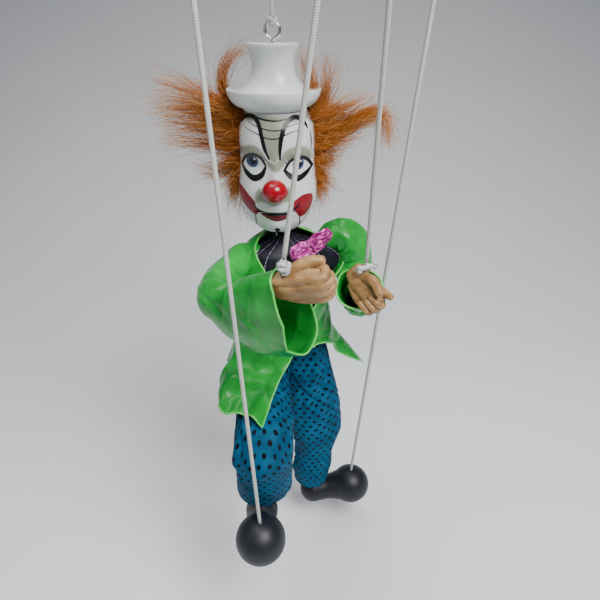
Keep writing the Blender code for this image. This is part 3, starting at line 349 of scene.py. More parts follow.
def ball_grid(around: int, rows: int) -> Grid:
    """A ball of radius one from pole to pole, with surface coordinates from 0 to 1."""
    turn, rise = np.meshgrid(turns(around), np.linspace(-math.pi / 2, math.pi / 2, rows))
    ball = np.stack([np.cos(rise) * np.cos(turn), np.cos(rise) * np.sin(turn), np.sin(rise)], axis=-1)
    return ball, uv_grid(np.linspace(0, 1, around + 1), np.linspace(0, 1, rows))


def add_wall(piece: Piece, wall: float = CLOTH_WALL) -> Piece:
    """Give a sheet its thickness, half to each side."""
    solid = piece.modifiers.new("wall", "SOLIDIFY")
    solid.thickness = wall
    solid.offset = 0
    return piece


# Shader expressions
Value = Union["Term", float, int, tuple]


def _operation(name: str, swapped: bool = False) -> Callable[["Term", Value], "Term"]:
    """A method that puts a term and another value through a Math node, in turned order where swapped."""
    def method(self: "Term", other: Value) -> "Term":
        """The Math node's result."""
        return self.math(name, other, self) if swapped else self.math(name, self, other)
    return method


class Term:
    """A shader socket that takes part in arithmetic."""

    def __init__(self, look: "Look", socket: bpy.types.NodeSocket) -> None:
        """Keep the material being made and the socket."""
        self.look = look
        self.socket = socket

    def math(self, operation: str, *values: Value) -> "Term":
        """A Math node on the given values."""
        return self.look.node("ShaderNodeMath", {"operation": operation}, dict(enumerate(values)))

    __add__ = __radd__ = _operation("ADD")
    __sub__, __rsub__ = _operation("SUBTRACT"), _operation("SUBTRACT", swapped=True)
    __mul__ = __rmul__ = _operation("MULTIPLY")
    __truediv__ = _operation("DIVIDE")
    __pow__ = _operation("POWER")
    __mod__ = _operation("FLOORED_MODULO")

    def floor(self) -> "Term":
        """The whole number below."""
        return self.math("FLOOR", self)

    def sine(self) -> "Term":
        """The sine."""
        return self.math("SINE", self)

    def size(self) -> "Term":
        """The absolute value."""
        return self.math("ABSOLUTE", self)

    def rise(self, low: float, high: float) -> "Term":
        """A smooth rise from 0 at low to 1 at high."""
        return self.look.node("ShaderNodeMapRange", {"interpolation_type": "SMOOTHSTEP"},
                              {0: self, 1: low, 2: high, 3: 0.0, 4: 1.0})


class Look:
    """A material being made: its nodes, its coordinates and its one Principled shader."""

    def __init__(self, name: str, **constants: float | Colour) -> None:
        """Start a material, with constants set on the shader's sockets of the same names."""
        self.material = bpy.data.materials.new(name)
        self.material.use_nodes = True
        self.tree = self.material.node_tree
        self.shader = self.tree.nodes["Principled BSDF"]
        for label, value in constants.items():
            socket = self.shader.inputs[label.replace("_", " ").title().replace("Ior", "IOR")]
            socket.default_value = (*value, 1) if isinstance(value, tuple) else value

    def node(self, kind: str, settings: Mapping[str, object] | None = None,
             sockets: Mapping[str | int, Value] | None = None, output: str | int = 0) -> Term:
        """Any node: its settings first, then its sockets.

        Args:
            kind: The node's type.
            settings: Attributes of the node, such as an operation.
            sockets: Values or links by socket name or number.
            output: The output socket to give back.

        Returns:
            The output socket as a term.
        """
        made = self.tree.nodes.new(kind)
        for label, value in (settings or {}).items():
            setattr(made, label, value)
        for label, value in (sockets or {}).items():
            if isinstance(value, Term):
                self.tree.links.new(value.socket, made.inputs[label])
            else:
                made.inputs[label].default_value = value
        return Term(self, made.outputs[output])

    def place(self, scale: Triple = (1, 1, 1)) -> Term:
        """Object coordinates in metres, scaled."""
        coordinates = self.node("ShaderNodeTexCoord", output="Object")
        return self.node("ShaderNodeMapping", sockets={"Vector": coordinates, "Scale": scale})

    def surface(self) -> tuple[Term, Term]:
        """The two surface coordinates of the piece."""
        split = self.node("ShaderNodeSeparateXYZ", sockets={0: self.node("ShaderNodeTexCoord", output="UV")})
        return split, Term(self, split.socket.node.outputs[1])

    def attribute(self, name: str) -> Term:
        """A number stored at each vertex of the piece."""
        return self.node("ShaderNodeAttribute", {"attribute_name": name}, output="Fac")

    def noise(self, vector: Term, scale: float, detail: float = 3, roughness: float = 0.55) -> Term:
        """Cloudy noise from 0 to 1."""
        return self.node("ShaderNodeTexNoise", sockets={"Vector": vector, "Scale": scale, "Detail": detail,
                                                        "Roughness": roughness})

    def blend(self, mask: Value, under: Value, over: Value) -> Term:
        """Two colours mixed by a mask."""
        under, over = ((*c, 1) if isinstance(c, tuple) and len(c) == 3 else c for c in (under, over))
        return self.node("ShaderNodeMix", {"data_type": "RGBA"}, {0: mask, 6: under, 7: over}, output=2)

    def finish(self, colour: Term, roughness: Term | None = None, height: Term | None = None,
               depth: float = 0.2, strength: float = 0.5) -> Material:
        """Feed the shader and give back the material.

        Args:
            colour: The base colour.
            roughness: The roughness, where it changes over the surface.
            height: A relief for the bump.
            depth: The relief's depth in millimetres.
            strength: The bump's strength.

        Returns:
            The finished material.
        """
        self.tree.links.new(colour.socket, self.shader.inputs["Base Color"])
        if roughness is not None:
            self.tree.links.new(roughness.socket, self.shader.inputs["Roughness"])
        if height is not None:
            relief = {"Height": height, "Distance": depth * MM, "Strength": strength}
            bump = self.node("ShaderNodeBump", sockets=relief)
            self.tree.links.new(bump.socket, self.shader.inputs["Normal"])
        return self.material


# Finishes
@dataclass(frozen=True)
class GlossPaint:
    """Brushed gloss paint on wood, a little grimy in scattered spots."""

    name: str
    colour: Colour
    grime: Colour
    rough: float = 0.2

    def made(self) -> Material:
        """The material."""
        look = Look(self.name, coat_weight=0.25, coat_roughness=0.1, specular_ior_level=0.4)
        spots = look.noise(look.place(), 90, 4)
        strokes = look.noise(look.place((1, 1, 0.15)), 420, 2)
        colour = look.blend(spots.rise(0.45, 0.8) * 0.5, self.colour, self.grime)
        return look.finish(colour, strokes * 0.12 + self.rough, strokes + spots * 0.8, 0.08, 0.35)


@dataclass(frozen=True)
class Satin:
    """Shiny woven satin: fine warp threads, soft slubs and small creases."""

    name: str
    colour: Colour
    deep: Colour

    def made(self) -> Material:
        """The material."""
        look = Look(self.name, specular_ior_level=0.36, anisotropic=0.3, subsurface_weight=0.22,
                    subsurface_scale=0.003)
        u, v = look.surface()
        warp = (u * 18.0).sine() * 0.5 + (v * 9.0).sine() * 0.25
        cloud = look.noise(look.place(), 55, 4)
        crease = (look.noise(look.place(), 62, 3, 0.5) - 0.5).size()
        colour = look.blend(cloud.rise(0.3, 0.75), self.deep, self.colour)
        return look.finish(colour, cloud * 0.12 + 0.17, crease + warp * 0.012, 1.9, 0.6)


@dataclass(frozen=True)
class SpottedCotton:
    """Plain woven cotton printed with staggered dark spots that follow the cloth."""

    name: str
    colour: Colour
    deep: Colour
    spot: Colour
    pitch: float = SPOT_PITCH
    radius: float = 1.3

    def made(self) -> Material:
        """The material."""
        look = Look(self.name, specular_ior_level=0.16)
        u, v = look.surface()
        rows = self.pitch * 0.8
        row = (v / rows).floor()
        across = ((u / self.pitch + (row % 2.0) * 0.5) % 1.0 - 0.5) * self.pitch
        along = ((v / rows) % 1.0 - 0.5) * rows
        far = (across * across + along * along) ** 0.5
        wobble = look.noise(look.place(), 900, 2) * 0.5
        spots = 1.0 - (far + wobble - 0.25).rise(self.radius - 0.16, self.radius + 0.16)
        weave = (u * 7.0).sine() * (v * 7.0).sine()
        cloud = look.noise(look.place(), 60, 4)
        cloth = look.blend(cloud.rise(0.3, 0.75), self.deep, self.colour)
        fleck = look.blend((weave * 0.5 + 0.5) * 0.22, cloth, self.deep)
        crease = look.noise(look.place((1, 1, 0.5)), 150, 5, 0.6)
        return look.finish(look.blend(spots, fleck, self.spot), cloud * 0.1 + 0.72, crease + weave * 0.06,
                           0.9, 0.5)


@dataclass(frozen=True)
class StitchedCotton:
    """Black cotton with rows of pale running stitches."""

    name: str
    colour: Colour
    stitch: Colour
    faded: Colour = (0.014, 0.014, 0.026)
    spacing: float = 8.5

    def made(self) -> Material:
        """The material."""
        look = Look(self.name, specular_ior_level=0.22)
        u, v = look.surface()
        line = ((u / self.spacing) % 1.0 - 0.5).size() * self.spacing
        dash = ((v / 2.6 + (u / self.spacing).floor() * 0.37) % 1.0).rise(0.16, 0.24)
        stitches = (1.0 - line.rise(0.14, 0.3)) * dash
        weave = (u * 9.0).sine() * (v * 9.0).sine()
        cloud = look.noise(look.place(), 120, 4)
        cloth = look.blend(cloud.rise(0.35, 0.8), self.colour, self.faded)
        return look.finish(look.blend(stitches, cloth, self.stitch), cloud * 0.2 + 0.36,
                           cloud + weave * 0.03 + stitches * 0.3, 0.9, 0.6)


@dataclass(frozen=True)
class CrumpledBow:
    """Thin shiny cloth, crushed into small facets, with dark flecks."""

    name: str
    colour: Colour
    pale: Colour
    fleck: Colour

    def made(self) -> Material:
        """The material."""
        look = Look(self.name, metallic=0.35, specular_ior_level=0.6)
        cells = look.node("ShaderNodeTexVoronoi", sockets={"Vector": look.place(), "Scale": 330.0},
                          output="Distance")
        cloud = look.noise(look.place(), 260, 4)
        colour = look.blend(cloud.rise(0.4, 0.7), self.colour, self.pale)
        flecks = 1.0 - cells.rise(0.16, 0.24)
        return look.finish(look.blend(flecks * 0.85, colour, self.fleck), cloud * 0.3 + 0.2, cells + cloud,
                           1.1, 0.8)


@dataclass(frozen=True)
class Fur:
    """Long dyed fur: dark at the root, bright along the strand and fair at some tips."""

    name: str
    root: Colour
    middle: Colour
    tip: Colour

    def made(self) -> Material:
        """The material."""
        look = Look(self.name, specular_ior_level=0.35, roughness=0.5)
        u, v = look.surface()
        colour = look.blend(v.rise(0.0, 0.45), self.root, self.middle)
        colour = look.blend(v.rise(0.5, 1.0) * u.rise(0.3, 1.0), colour, self.tip)
        shade = look.noise(look.place(), 70, 3)
        return look.finish(look.blend(shade.rise(0.55, 0.75) * 0.35, colour, self.root), u * 0.2 + 0.4)


@dataclass(frozen=True)
class Braid:
    """White braided cord: two families of slanting strands that cross."""

    name: str
    colour: Colour
    shade: Colour
    lay: float = 1.9

    def made(self) -> Material:
        """The material."""
        look = Look(self.name, specular_ior_level=0.3)
        u, v = look.surface()
        one = (v * (TURN / self.lay) + u * (TURN * 4)).sine()
        two = (v * (TURN / self.lay) - u * (TURN * 4)).sine()
        weave = one * two
        fuzz = look.noise(look.place(), 1500, 2)
        colour = look.blend((weave * 0.5 + 0.5).rise(0.15, 0.8), self.shade, self.colour)
        return look.finish(colour, fuzz * 0.15 + 0.65, weave + fuzz * 0.4, 0.2, 0.5)


@dataclass(frozen=True)
class BareWood:
    """Wood with grain along one axis and rubbed dirt, and painted shade that darkens its hollows so that its
    edges stand lighter.
    """

    name: str
    pale: Colour
    dark: Colour
    stretch: Triple
    rough: float = 0.5
    grain: float = 300.0
    hollow_shade: Colour = (0.055, 0.022, 0.007)

    def made(self) -> Material:
        """The material."""
        look = Look(self.name, specular_ior_level=0.4, coat_weight=0.08)
        fibre = look.noise(look.place(self.stretch), self.grain, 4, 0.65)
        cloud = look.noise(look.place(), 70, 3)
        colour = look.blend(fibre.rise(0.3, 0.7), self.dark, self.pale)
        worn = look.blend(cloud.rise(0.5, 0.8) * 0.45, colour, self.dark)
        # Painted shade: darker the deeper the stored hollow, so worn now holds rubbed dirt and painted shade
        # together.
        worn = look.blend(look.attribute("hollow").rise(0.02, 0.30) * 0.85, worn, self.hollow_shade)
        return look.finish(worn, fibre * 0.25 + self.rough - 0.12, fibre + cloud * 0.4, 0.12, 0.45)


@dataclass(frozen=True)
class DullCoat:
    """A dark, hard-wearing coat: matt paint, rubber or leather, scuffed in places."""

    name: str
    colour: Colour
    worn: Colour
    rough: float = 0.5
    grain: float = 600.0

    def made(self) -> Material:
        """The material."""
        look = Look(self.name, specular_ior_level=0.4)
        pores = look.noise(look.place(), self.grain, 3)
        scuffs = look.noise(look.place(), 85, 5, 0.7)
        colour = look.blend(scuffs.rise(0.52, 0.78) * 0.8, self.colour, self.worn)
        return look.finish(colour, scuffs * 0.25 + self.rough - 0.1, pores + scuffs * 0.5, 0.1, 0.4)


@dataclass(frozen=True)
class Wire:
    """Bright plated wire with fine drawing marks."""

    name: str
    colour: Colour = (0.75, 0.76, 0.78)
    dull: Colour = (0.4, 0.4, 0.42)

    def made(self) -> Material:
        """The material."""
        look = Look(self.name, metallic=1.0)
        marks = look.noise(look.place(), 700, 3)
        colour = look.blend(marks.rise(0.5, 0.8) * 0.4, self.colour, self.dull)
        return look.finish(colour, marks * 0.2 + 0.12, marks, 0.03, 0.3)


@dataclass(frozen=True)
class FacePaint:
    """White gloss with painted marks: each mark is a stored distance to its edge, in millimetres."""

    name: str = "face_gloss"
    white: Colour = (0.66, 0.68, 0.68)
    grime: Colour = (0.42, 0.43, 0.38)
    marks: tuple[tuple[str, Colour], ...] = (
        ("shadow", (0.27, 0.28, 0.215)), ("red", (0.25, 0.002, 0.012)), ("lip", (0.13, 0.008, 0.014)),
        ("white", (0.62, 0.68, 0.66)), ("iris", (0.040, 0.065, 0.15)), ("black", (0.003, 0.003, 0.004)),
        ("glint", (0.75, 0.78, 0.80)))
    edge: float = 0.13
    shadow_edge: float = 1.1

    def made(self) -> Material:
        """The material."""
        look = Look(self.name, coat_weight=0.06, coat_roughness=0.12, specular_ior_level=0.3)
        spots = look.noise(look.place(), 110, 4)
        strokes = look.noise(look.place((1, 1, 0.3)), 500, 2)
        colour = look.blend(spots.rise(0.5, 0.85) * 0.5, self.white, self.grime)
        for label, paint in self.marks:
            soft = self.shadow_edge if label == "shadow" else self.edge
            far = look.attribute(label) + (strokes - 0.5) * 0.25
            colour = look.blend(1.0 - far.rise(-soft, soft), colour, paint)
        return look.finish(colour, strokes * 0.15 + 0.27, strokes + spots * 0.8, 0.06, 0.35)


@dataclass(frozen=True)
class PaleFloor:
    """A plain pale floor with a faint mottle."""

    name: str = "pale_floor"
    grey: Colour = (0.76, 0.78, 0.81)
    pale: Colour = (0.82, 0.84, 0.87)

    def made(self) -> Material:
        """The material."""
        look = Look(self.name, specular_ior_level=0.25)
        cloud = look.noise(look.place(), 5, 4)
        return look.finish(look.blend(cloud, self.grey, self.pale), cloud * 0.1 + 0.6)


class Palette:
    """Every finish of the puppet, made once."""

    def __init__(self) -> None:
        """Make every material."""
        self.hat = GlossPaint("hat_gloss", (0.68, 0.71, 0.71), (0.40, 0.42, 0.37)).made()
        self.face = FacePaint().made()
        self.nose = GlossPaint("nose_gloss", (0.31, 0.001, 0.010), (0.21, 0.001, 0.006), 0.14).made()
        self.fur = Fur("orange_fur", (0.13, 0.026, 0.002), (0.41, 0.115, 0.007), (0.90, 0.50, 0.16)).made()
        self.green = Satin("green_satin", (0.018, 0.38, 0.048), (0.007, 0.22, 0.024)).made()
        # A paler copy of the green satin for the rolled hems: painted highlight along the edges of the jacket
        # and the cuffs.
        self.hem = Satin("green_satin_painted_highlight", (0.16, 0.66, 0.14), (0.06, 0.48, 0.06)).made()
        self.blue = SpottedCotton("blue_cotton", (0.0015, 0.105, 0.215), (0.001, 0.050, 0.108),
                                  (0.001, 0.003, 0.007)).made()
        self.shirt = StitchedCotton("black_cotton", (0.004, 0.004, 0.009), (0.30, 0.26, 0.36)).made()
        self.bow = CrumpledBow("pink_bow", (0.36, 0.012, 0.21), (0.72, 0.13, 0.48),
                               (0.03, 0.002, 0.02)).made()
        self.cord = Braid("white_cord", (0.58, 0.60, 0.55), (0.40, 0.41, 0.38)).made()
        self.bar = BareWood("bar_wood", (0.55, 0.36, 0.19), (0.33, 0.19, 0.09), (0.12, 0.12, 1.0)).made()
        # The hand's hollows are darkened with painted shade.
        self.hand = BareWood("hand_wood", (0.41, 0.24, 0.095), (0.23, 0.112, 0.036), (0.25, 1.0, 1.0),
                             0.42).made()
        self.limb = BareWood("limb_wood", (0.60, 0.44, 0.27), (0.42, 0.28, 0.15), (1.0, 1.0, 0.1)).made()
        self.shoe = DullCoat("shoe_black", (0.008, 0.009, 0.014), (0.02, 0.022, 0.032), 0.44).made()
        self.leather = DullCoat("thong_leather", (0.22, 0.11, 0.05), (0.34, 0.2, 0.1), 0.65).made()
        self.rubber = DullCoat("jaw_rubber", (0.06, 0.055, 0.05), (0.12, 0.11, 0.1), 0.6).made()
        self.wire = Wire("bright_wire").made()


def dress(piece: Piece, material: Material, body: str | None = None, replaces: Sequence[str] = ()) -> Piece:
    """Give a piece its finish, its body and the nodes that it stands for.

    Args:
        piece: The new object.
        material: Its finish.
        body: The body that it rides on, or None where it rides on no body.
        replaces: The frame's nodes that it stands for.

    Returns:
        The same object.
    """
    piece.data.materials.clear()
    piece.data.materials.append(material)
    if body is not None:
        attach(piece, str(getattr(body, "value", body)))
    if replaces:
        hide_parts(*replaces)
    log.info("made %s", piece.name)
    return piece


# Studio
@dataclass
class Studio:
    """The camera, the soft lights and the pale floor."""

    eye: Triple = (16, -327.5, 10)
    pitch: float = 29.0
    lens: float = 30.0
    lights: tuple[tuple[str, Triple, float, float], ...] = (
        ("key", (380, -520, 560), 0.5, 16.0), ("fill", (-700, -500, 200), 1.2, 1.2),
        ("top", (-150, 60, 750), 0.7, 7.5))
    chest: Triple = (0, -30, -180)
    sky: Colour = (0.78, 0.82, 0.88)
    sky_strength: float = 0.12
    floor_drop: float = 428.0
    floor_half: Pair = (3.0, 1.6)

    def build(self) -> None:
        """Make the camera, the lights, the sky and the floor."""
        data = bpy.data.cameras.new("camera")
        data.lens, data.sensor_width, data.clip_start = self.lens, 36, 0.01
        camera = bpy.data.objects.new("camera", data)
        camera.location = at(*self.eye)
        camera.rotation_euler = (math.radians(90 - self.pitch), 0, 0)
        bpy.context.scene.collection.objects.link(camera)
        bpy.context.scene.camera = camera
        for name, place, size, power in self.lights:
            self.light(name, at(*place), size, power)
        world = bpy.data.worlds.new("studio")
        world.use_nodes = True
        background = world.node_tree.nodes["Background"]
        background.inputs[0].default_value = (*self.sky, 1)
        background.inputs[1].default_value = self.sky_strength
        bpy.context.scene.world = world
        self.build_floor()

    def build_floor(self) -> None:
        """A floor that rises behind the puppet as 0.75 (v - 0.2)^2."""
        half, deep = self.floor_half
        u, v = np.meshgrid(np.linspace(-1, 1, 17), np.linspace(-1, 1.6, 121))
        lift = np.where(v > 0.2, 0.75 * (v - 0.2) ** 2, 0)
        points = at(0, 0, -self.floor_drop) + np.stack([u * half, v * deep, lift * deep], axis=-1)
        floor = grid_mesh("floor", points, np.stack([u, v], axis=-1))
        floor.data.materials.append(PaleFloor().made())

    def light(self, name: str, place: Array, size: float, power: float) -> None:
        """A square soft light whose -Z axis points at the puppet's chest."""
        data = bpy.data.lights.new(name, "AREA")
        data.size, data.energy = size, power
        lamp = bpy.data.objects.new(name, data)
        x, y, z = unit(at(*self.chest) - place)
        lamp.location = place
        lamp.rotation_euler = (math.acos(-z), 0.0, math.atan2(y, x) - math.pi / 2)
        bpy.context.scene.collection.objects.link(lamp)


# Strings
@dataclass
class String:
    """A taut string of braided cord with its knots."""

    name: str
    body: str

    def knot(self, centre: Array, axis: Array, size: float) -> Grid:
        """A trefoil knot of cord: (sin t + 2 sin 2t, cos t - 2 cos 2t, -1.5 sin 3t), drawn up small."""
        t = turns(96)
        loop = np.stack([np.sin(t) + 2 * np.sin(2 * t), np.cos(t) - 2 * np.cos(2 * t), -1.5 * np.sin(3 * t)],
                        axis=-1)
        across = unit(np.cross(axis, (0.3, 1.0, 0.2)))
        path = centre + loop @ np.stack([across, np.cross(axis, across), axis]) * (size * MM)
        return tube_grid(np.concatenate([path, path[:1]]), CORD_DIAMETER * 0.47 * MM, 10, across)

    def hang(self, palette: Palette, path: Array, knots: Sequence[Grid]) -> None:
        cord = closed_mesh(self.name + "_cord", tube_grid(path, CORD_DIAMETER / 2 * MM, 16, LEFTWARD))
        dress(cord, palette.cord, self.body, [self.name])
        tied = dress(closed_mesh(self.name + "_knots", *knots), palette.cord, self.body)


@dataclass
class LimbString(String):
    """A string from its bar to a limb, with a stop knot and a loose end above and, at a hand, a tied knot."""

    foot: Array
    ahead: float
    side: float
    tied: bool
    wide: bool = False
    sink: float = 5.7
    hole_height: float = 79.7
    over_bar: float = 1.2
    stop_knot: float = 4.2
    loose_end: Pair = (5.0, 12.5)

    def tie(self, direction: Array) -> list[Grid]:
        """The knots at a hand: a ball of cord, or two knots on a short bar of cord."""
        low = self.foot - direction * (3.4 * MM) + AHEAD * (1.6 * MM)
        if not self.wide:
            lower = low - direction * (1.8 * MM)
            return [self.knot(low, direction, 1.0), self.knot(lower, unit(AHEAD + UP), 0.9)]
        bone = unit(np.cross(direction, AHEAD))
        ends = np.stack([low - bone * (5.4 * MM), low + bone * (5.4 * MM)])
        bar = tube_grid(evenly(ends, 8), 1.7 * MM, 12, direction)
        return [bar] + [self.knot(end, bone, 0.6) for end in ends]

    def build(self, palette: Palette) -> None:
        """Make the string and its knots; on a shoe its foot sinks into the toe."""
        top = HAT_TOP + (AHEAD * self.ahead + LEFTWARD * self.side + UP * self.hole_height) * MM
        direction = unit(top - self.foot)
        low = self.foot + direction * ((0.3 if self.tied else -self.sink) * MM)
        path = evenly(np.stack([top + direction * (self.over_bar * MM), low]), 40)
        loose = np.stack([top + direction * (far * MM) for far in self.loose_end])
        knots = [self.knot(top + direction * (self.stop_knot * MM), direction, 0.95),
                 tube_grid(evenly(loose, 8), CORD_DIAMETER / 2 * MM, 12, LEFTWARD)]
        self.hang(palette, path, knots + (self.tie(direction) if self.tied else []))


@dataclass
class HeadString(String):
    """The short string between the control's eye and the hat's eye, with a knot at each."""

    clear: float = 12.0

    def build(self, palette: Palette) -> None:
        """Make the string and its two knots."""
        top, foot = at(0, 0, CONTROL_HEIGHT - self.clear), at(0, 0, self.clear)
        knots = [self.knot(top + UP * MM, UP, 0.95), self.knot(foot - UP * (1.2 * MM), UP, 0.95)]
        self.hang(palette, evenly(np.stack([top, foot]), 24), knots)


@dataclass
class WireEye:
    """A screw eye: a straight shank below its seat and a ring above it that all but closes."""

    node: str
    body: str
    seat: Array
    axis: Array
    side: Array
    ring: float = 3.3
    wire: float = 0.7
    shank: float = 7.0

    def build(self, palette: Palette) -> None:
        """Make the eye as one bent wire."""
        axis = unit(np.asarray(self.axis, float))
        side = np.asarray(self.side, float)
        side = unit(side - axis * (side @ axis))
        turn = np.radians(np.linspace(-90, 258, 60))[:, None]
        centre = self.seat + axis * ((self.ring + 2 * self.wire) * MM)
        loop = centre + (np.cos(turn) * side + np.sin(turn) * axis) * (self.ring * MM)
        path = np.concatenate([[self.seat - axis * (self.shank * MM)], [self.seat + axis * (0.5 * MM)], loop])
        eye = closed_mesh(self.node + "_wire", tube_grid(path, self.wire * MM, 14, np.cross(axis, side)))
        dress(eye, palette.wire, self.body, [self.node])


# Head
@dataclass
class Hat:
    """The turned hat: a flared crown on a saucer brim."""

    profile: tuple[Pair, ...] = (
        (0, 0), (8, 0.02), (14.2, 0), (15.1, -0.1), (15.5, -0.6), (15.5, -1.8), (15.0, -2.8), (14.0, -5.2),
        (13.2, -8.0), (12.9, -10.8), (13.3, -14.5), (14.6, -18.6), (16.8, -22.2), (19.6, -24.6),
        (22.6, -25.7),
        (25.6, -25.9), (27.5, -25.2), (28.2, -24.6), (28.7, -24.8), (28.7, -26.0), (28.2, -28.2),
        (26.8, -30.8),
        (24.4, -33.2), (21.8, -34.6), (20.0, -35.0), (19.4, -35.4), (19.0, -36.0), (18.4, -36.5),
        (8, -36.5), (0, -36.5))

    def build(self, palette: Palette) -> None:
        """Make the hat and the eye in its top."""
        knots = np.array(self.profile)
        along = np.arange(len(knots), dtype=float)
        smooth = through(along, knots, np.linspace(0, along[-1], 180)) * MM
        smooth[:, 0] = np.maximum(smooth[:, 0], 0)
        hat = closed_mesh("hat_turned", lathe_grid(smooth, HAT_TOP, UP, (1, 0, 0), 128))
        dress(hat, palette.hat, Body.HEAD, ["hat"])
        WireEye("hat_eye", Body.HEAD.value, HAT_TOP, UP, (1, 0, 0), 4.2, 1.05).build(palette)


def to_segment(x: Array, z: Array, start: Array, end: Array) -> Arrays:
    """The distance from places to a straight segment, and the share along it of the nearest place."""
    (ax, az), (dx, dz) = start, end - start
    t = np.clip(((x - ax) * dx + (z - az) * dz) / (dx * dx + dz * dz + 1e-9), 0, 1)
    return np.hypot(x - ax - t * dx, z - az - t * dz), t


@dataclass(frozen=True)
class Stroke:
    """A painted line through (x, z) places with a half width at each, in millimetres."""

    paint: str
    places: tuple[Pair, ...]
    halves: tuple[float, ...]

    def distance(self, x: Array, z: Array) -> Array:
        """The distance from each place to the line's edge, less than 0 inside."""
        knots = np.arange(len(self.places), dtype=float)
        q = np.linspace(0, knots[-1], 8 * (len(knots) - 1) + 1)
        line = through(knots, np.array(self.places), q)
        half = np.interp(q, knots, self.halves)
        best = np.full(x.shape, FAR_OFF)
        for start, end, thick, thin in zip(line, line[1:], half, half[1:]):
            far, t = to_segment(x, z, start, end)
            best = np.minimum(best, far - (thick + (thin - thick) * t))
        return best


@dataclass(frozen=True)
class Patch:
    """A painted area inside a closed outline of (x, z) places, in millimetres."""

    paint: str
    outline: tuple[Pair, ...]

    def distance(self, x: Array, z: Array) -> Array:
        """The distance to the outline, less than 0 inside: the even-odd rule gives the sign."""
        knots = np.arange(len(self.outline) + 1, dtype=float)
        closed = np.array((*self.outline, self.outline[0]))
        ring = through(knots, closed, np.linspace(0, knots[-1], 8 * len(self.outline)))
        best = np.full(x.shape, FAR_OFF)
        inside = np.zeros(x.shape, bool)
        for start, end in zip(ring, np.roll(ring, -1, axis=0)):
            best = np.minimum(best, to_segment(x, z, start, end)[0])
            (ax, az), (bx, bz) = start, end
            cross = (az > z) != (bz > z)
            inside ^= cross & (x < (bx - ax) * (z - az) / np.where(abs(bz - az) < 1e-9, 1e-9, bz - az) + ax)
        return np.where(inside, -best, best)


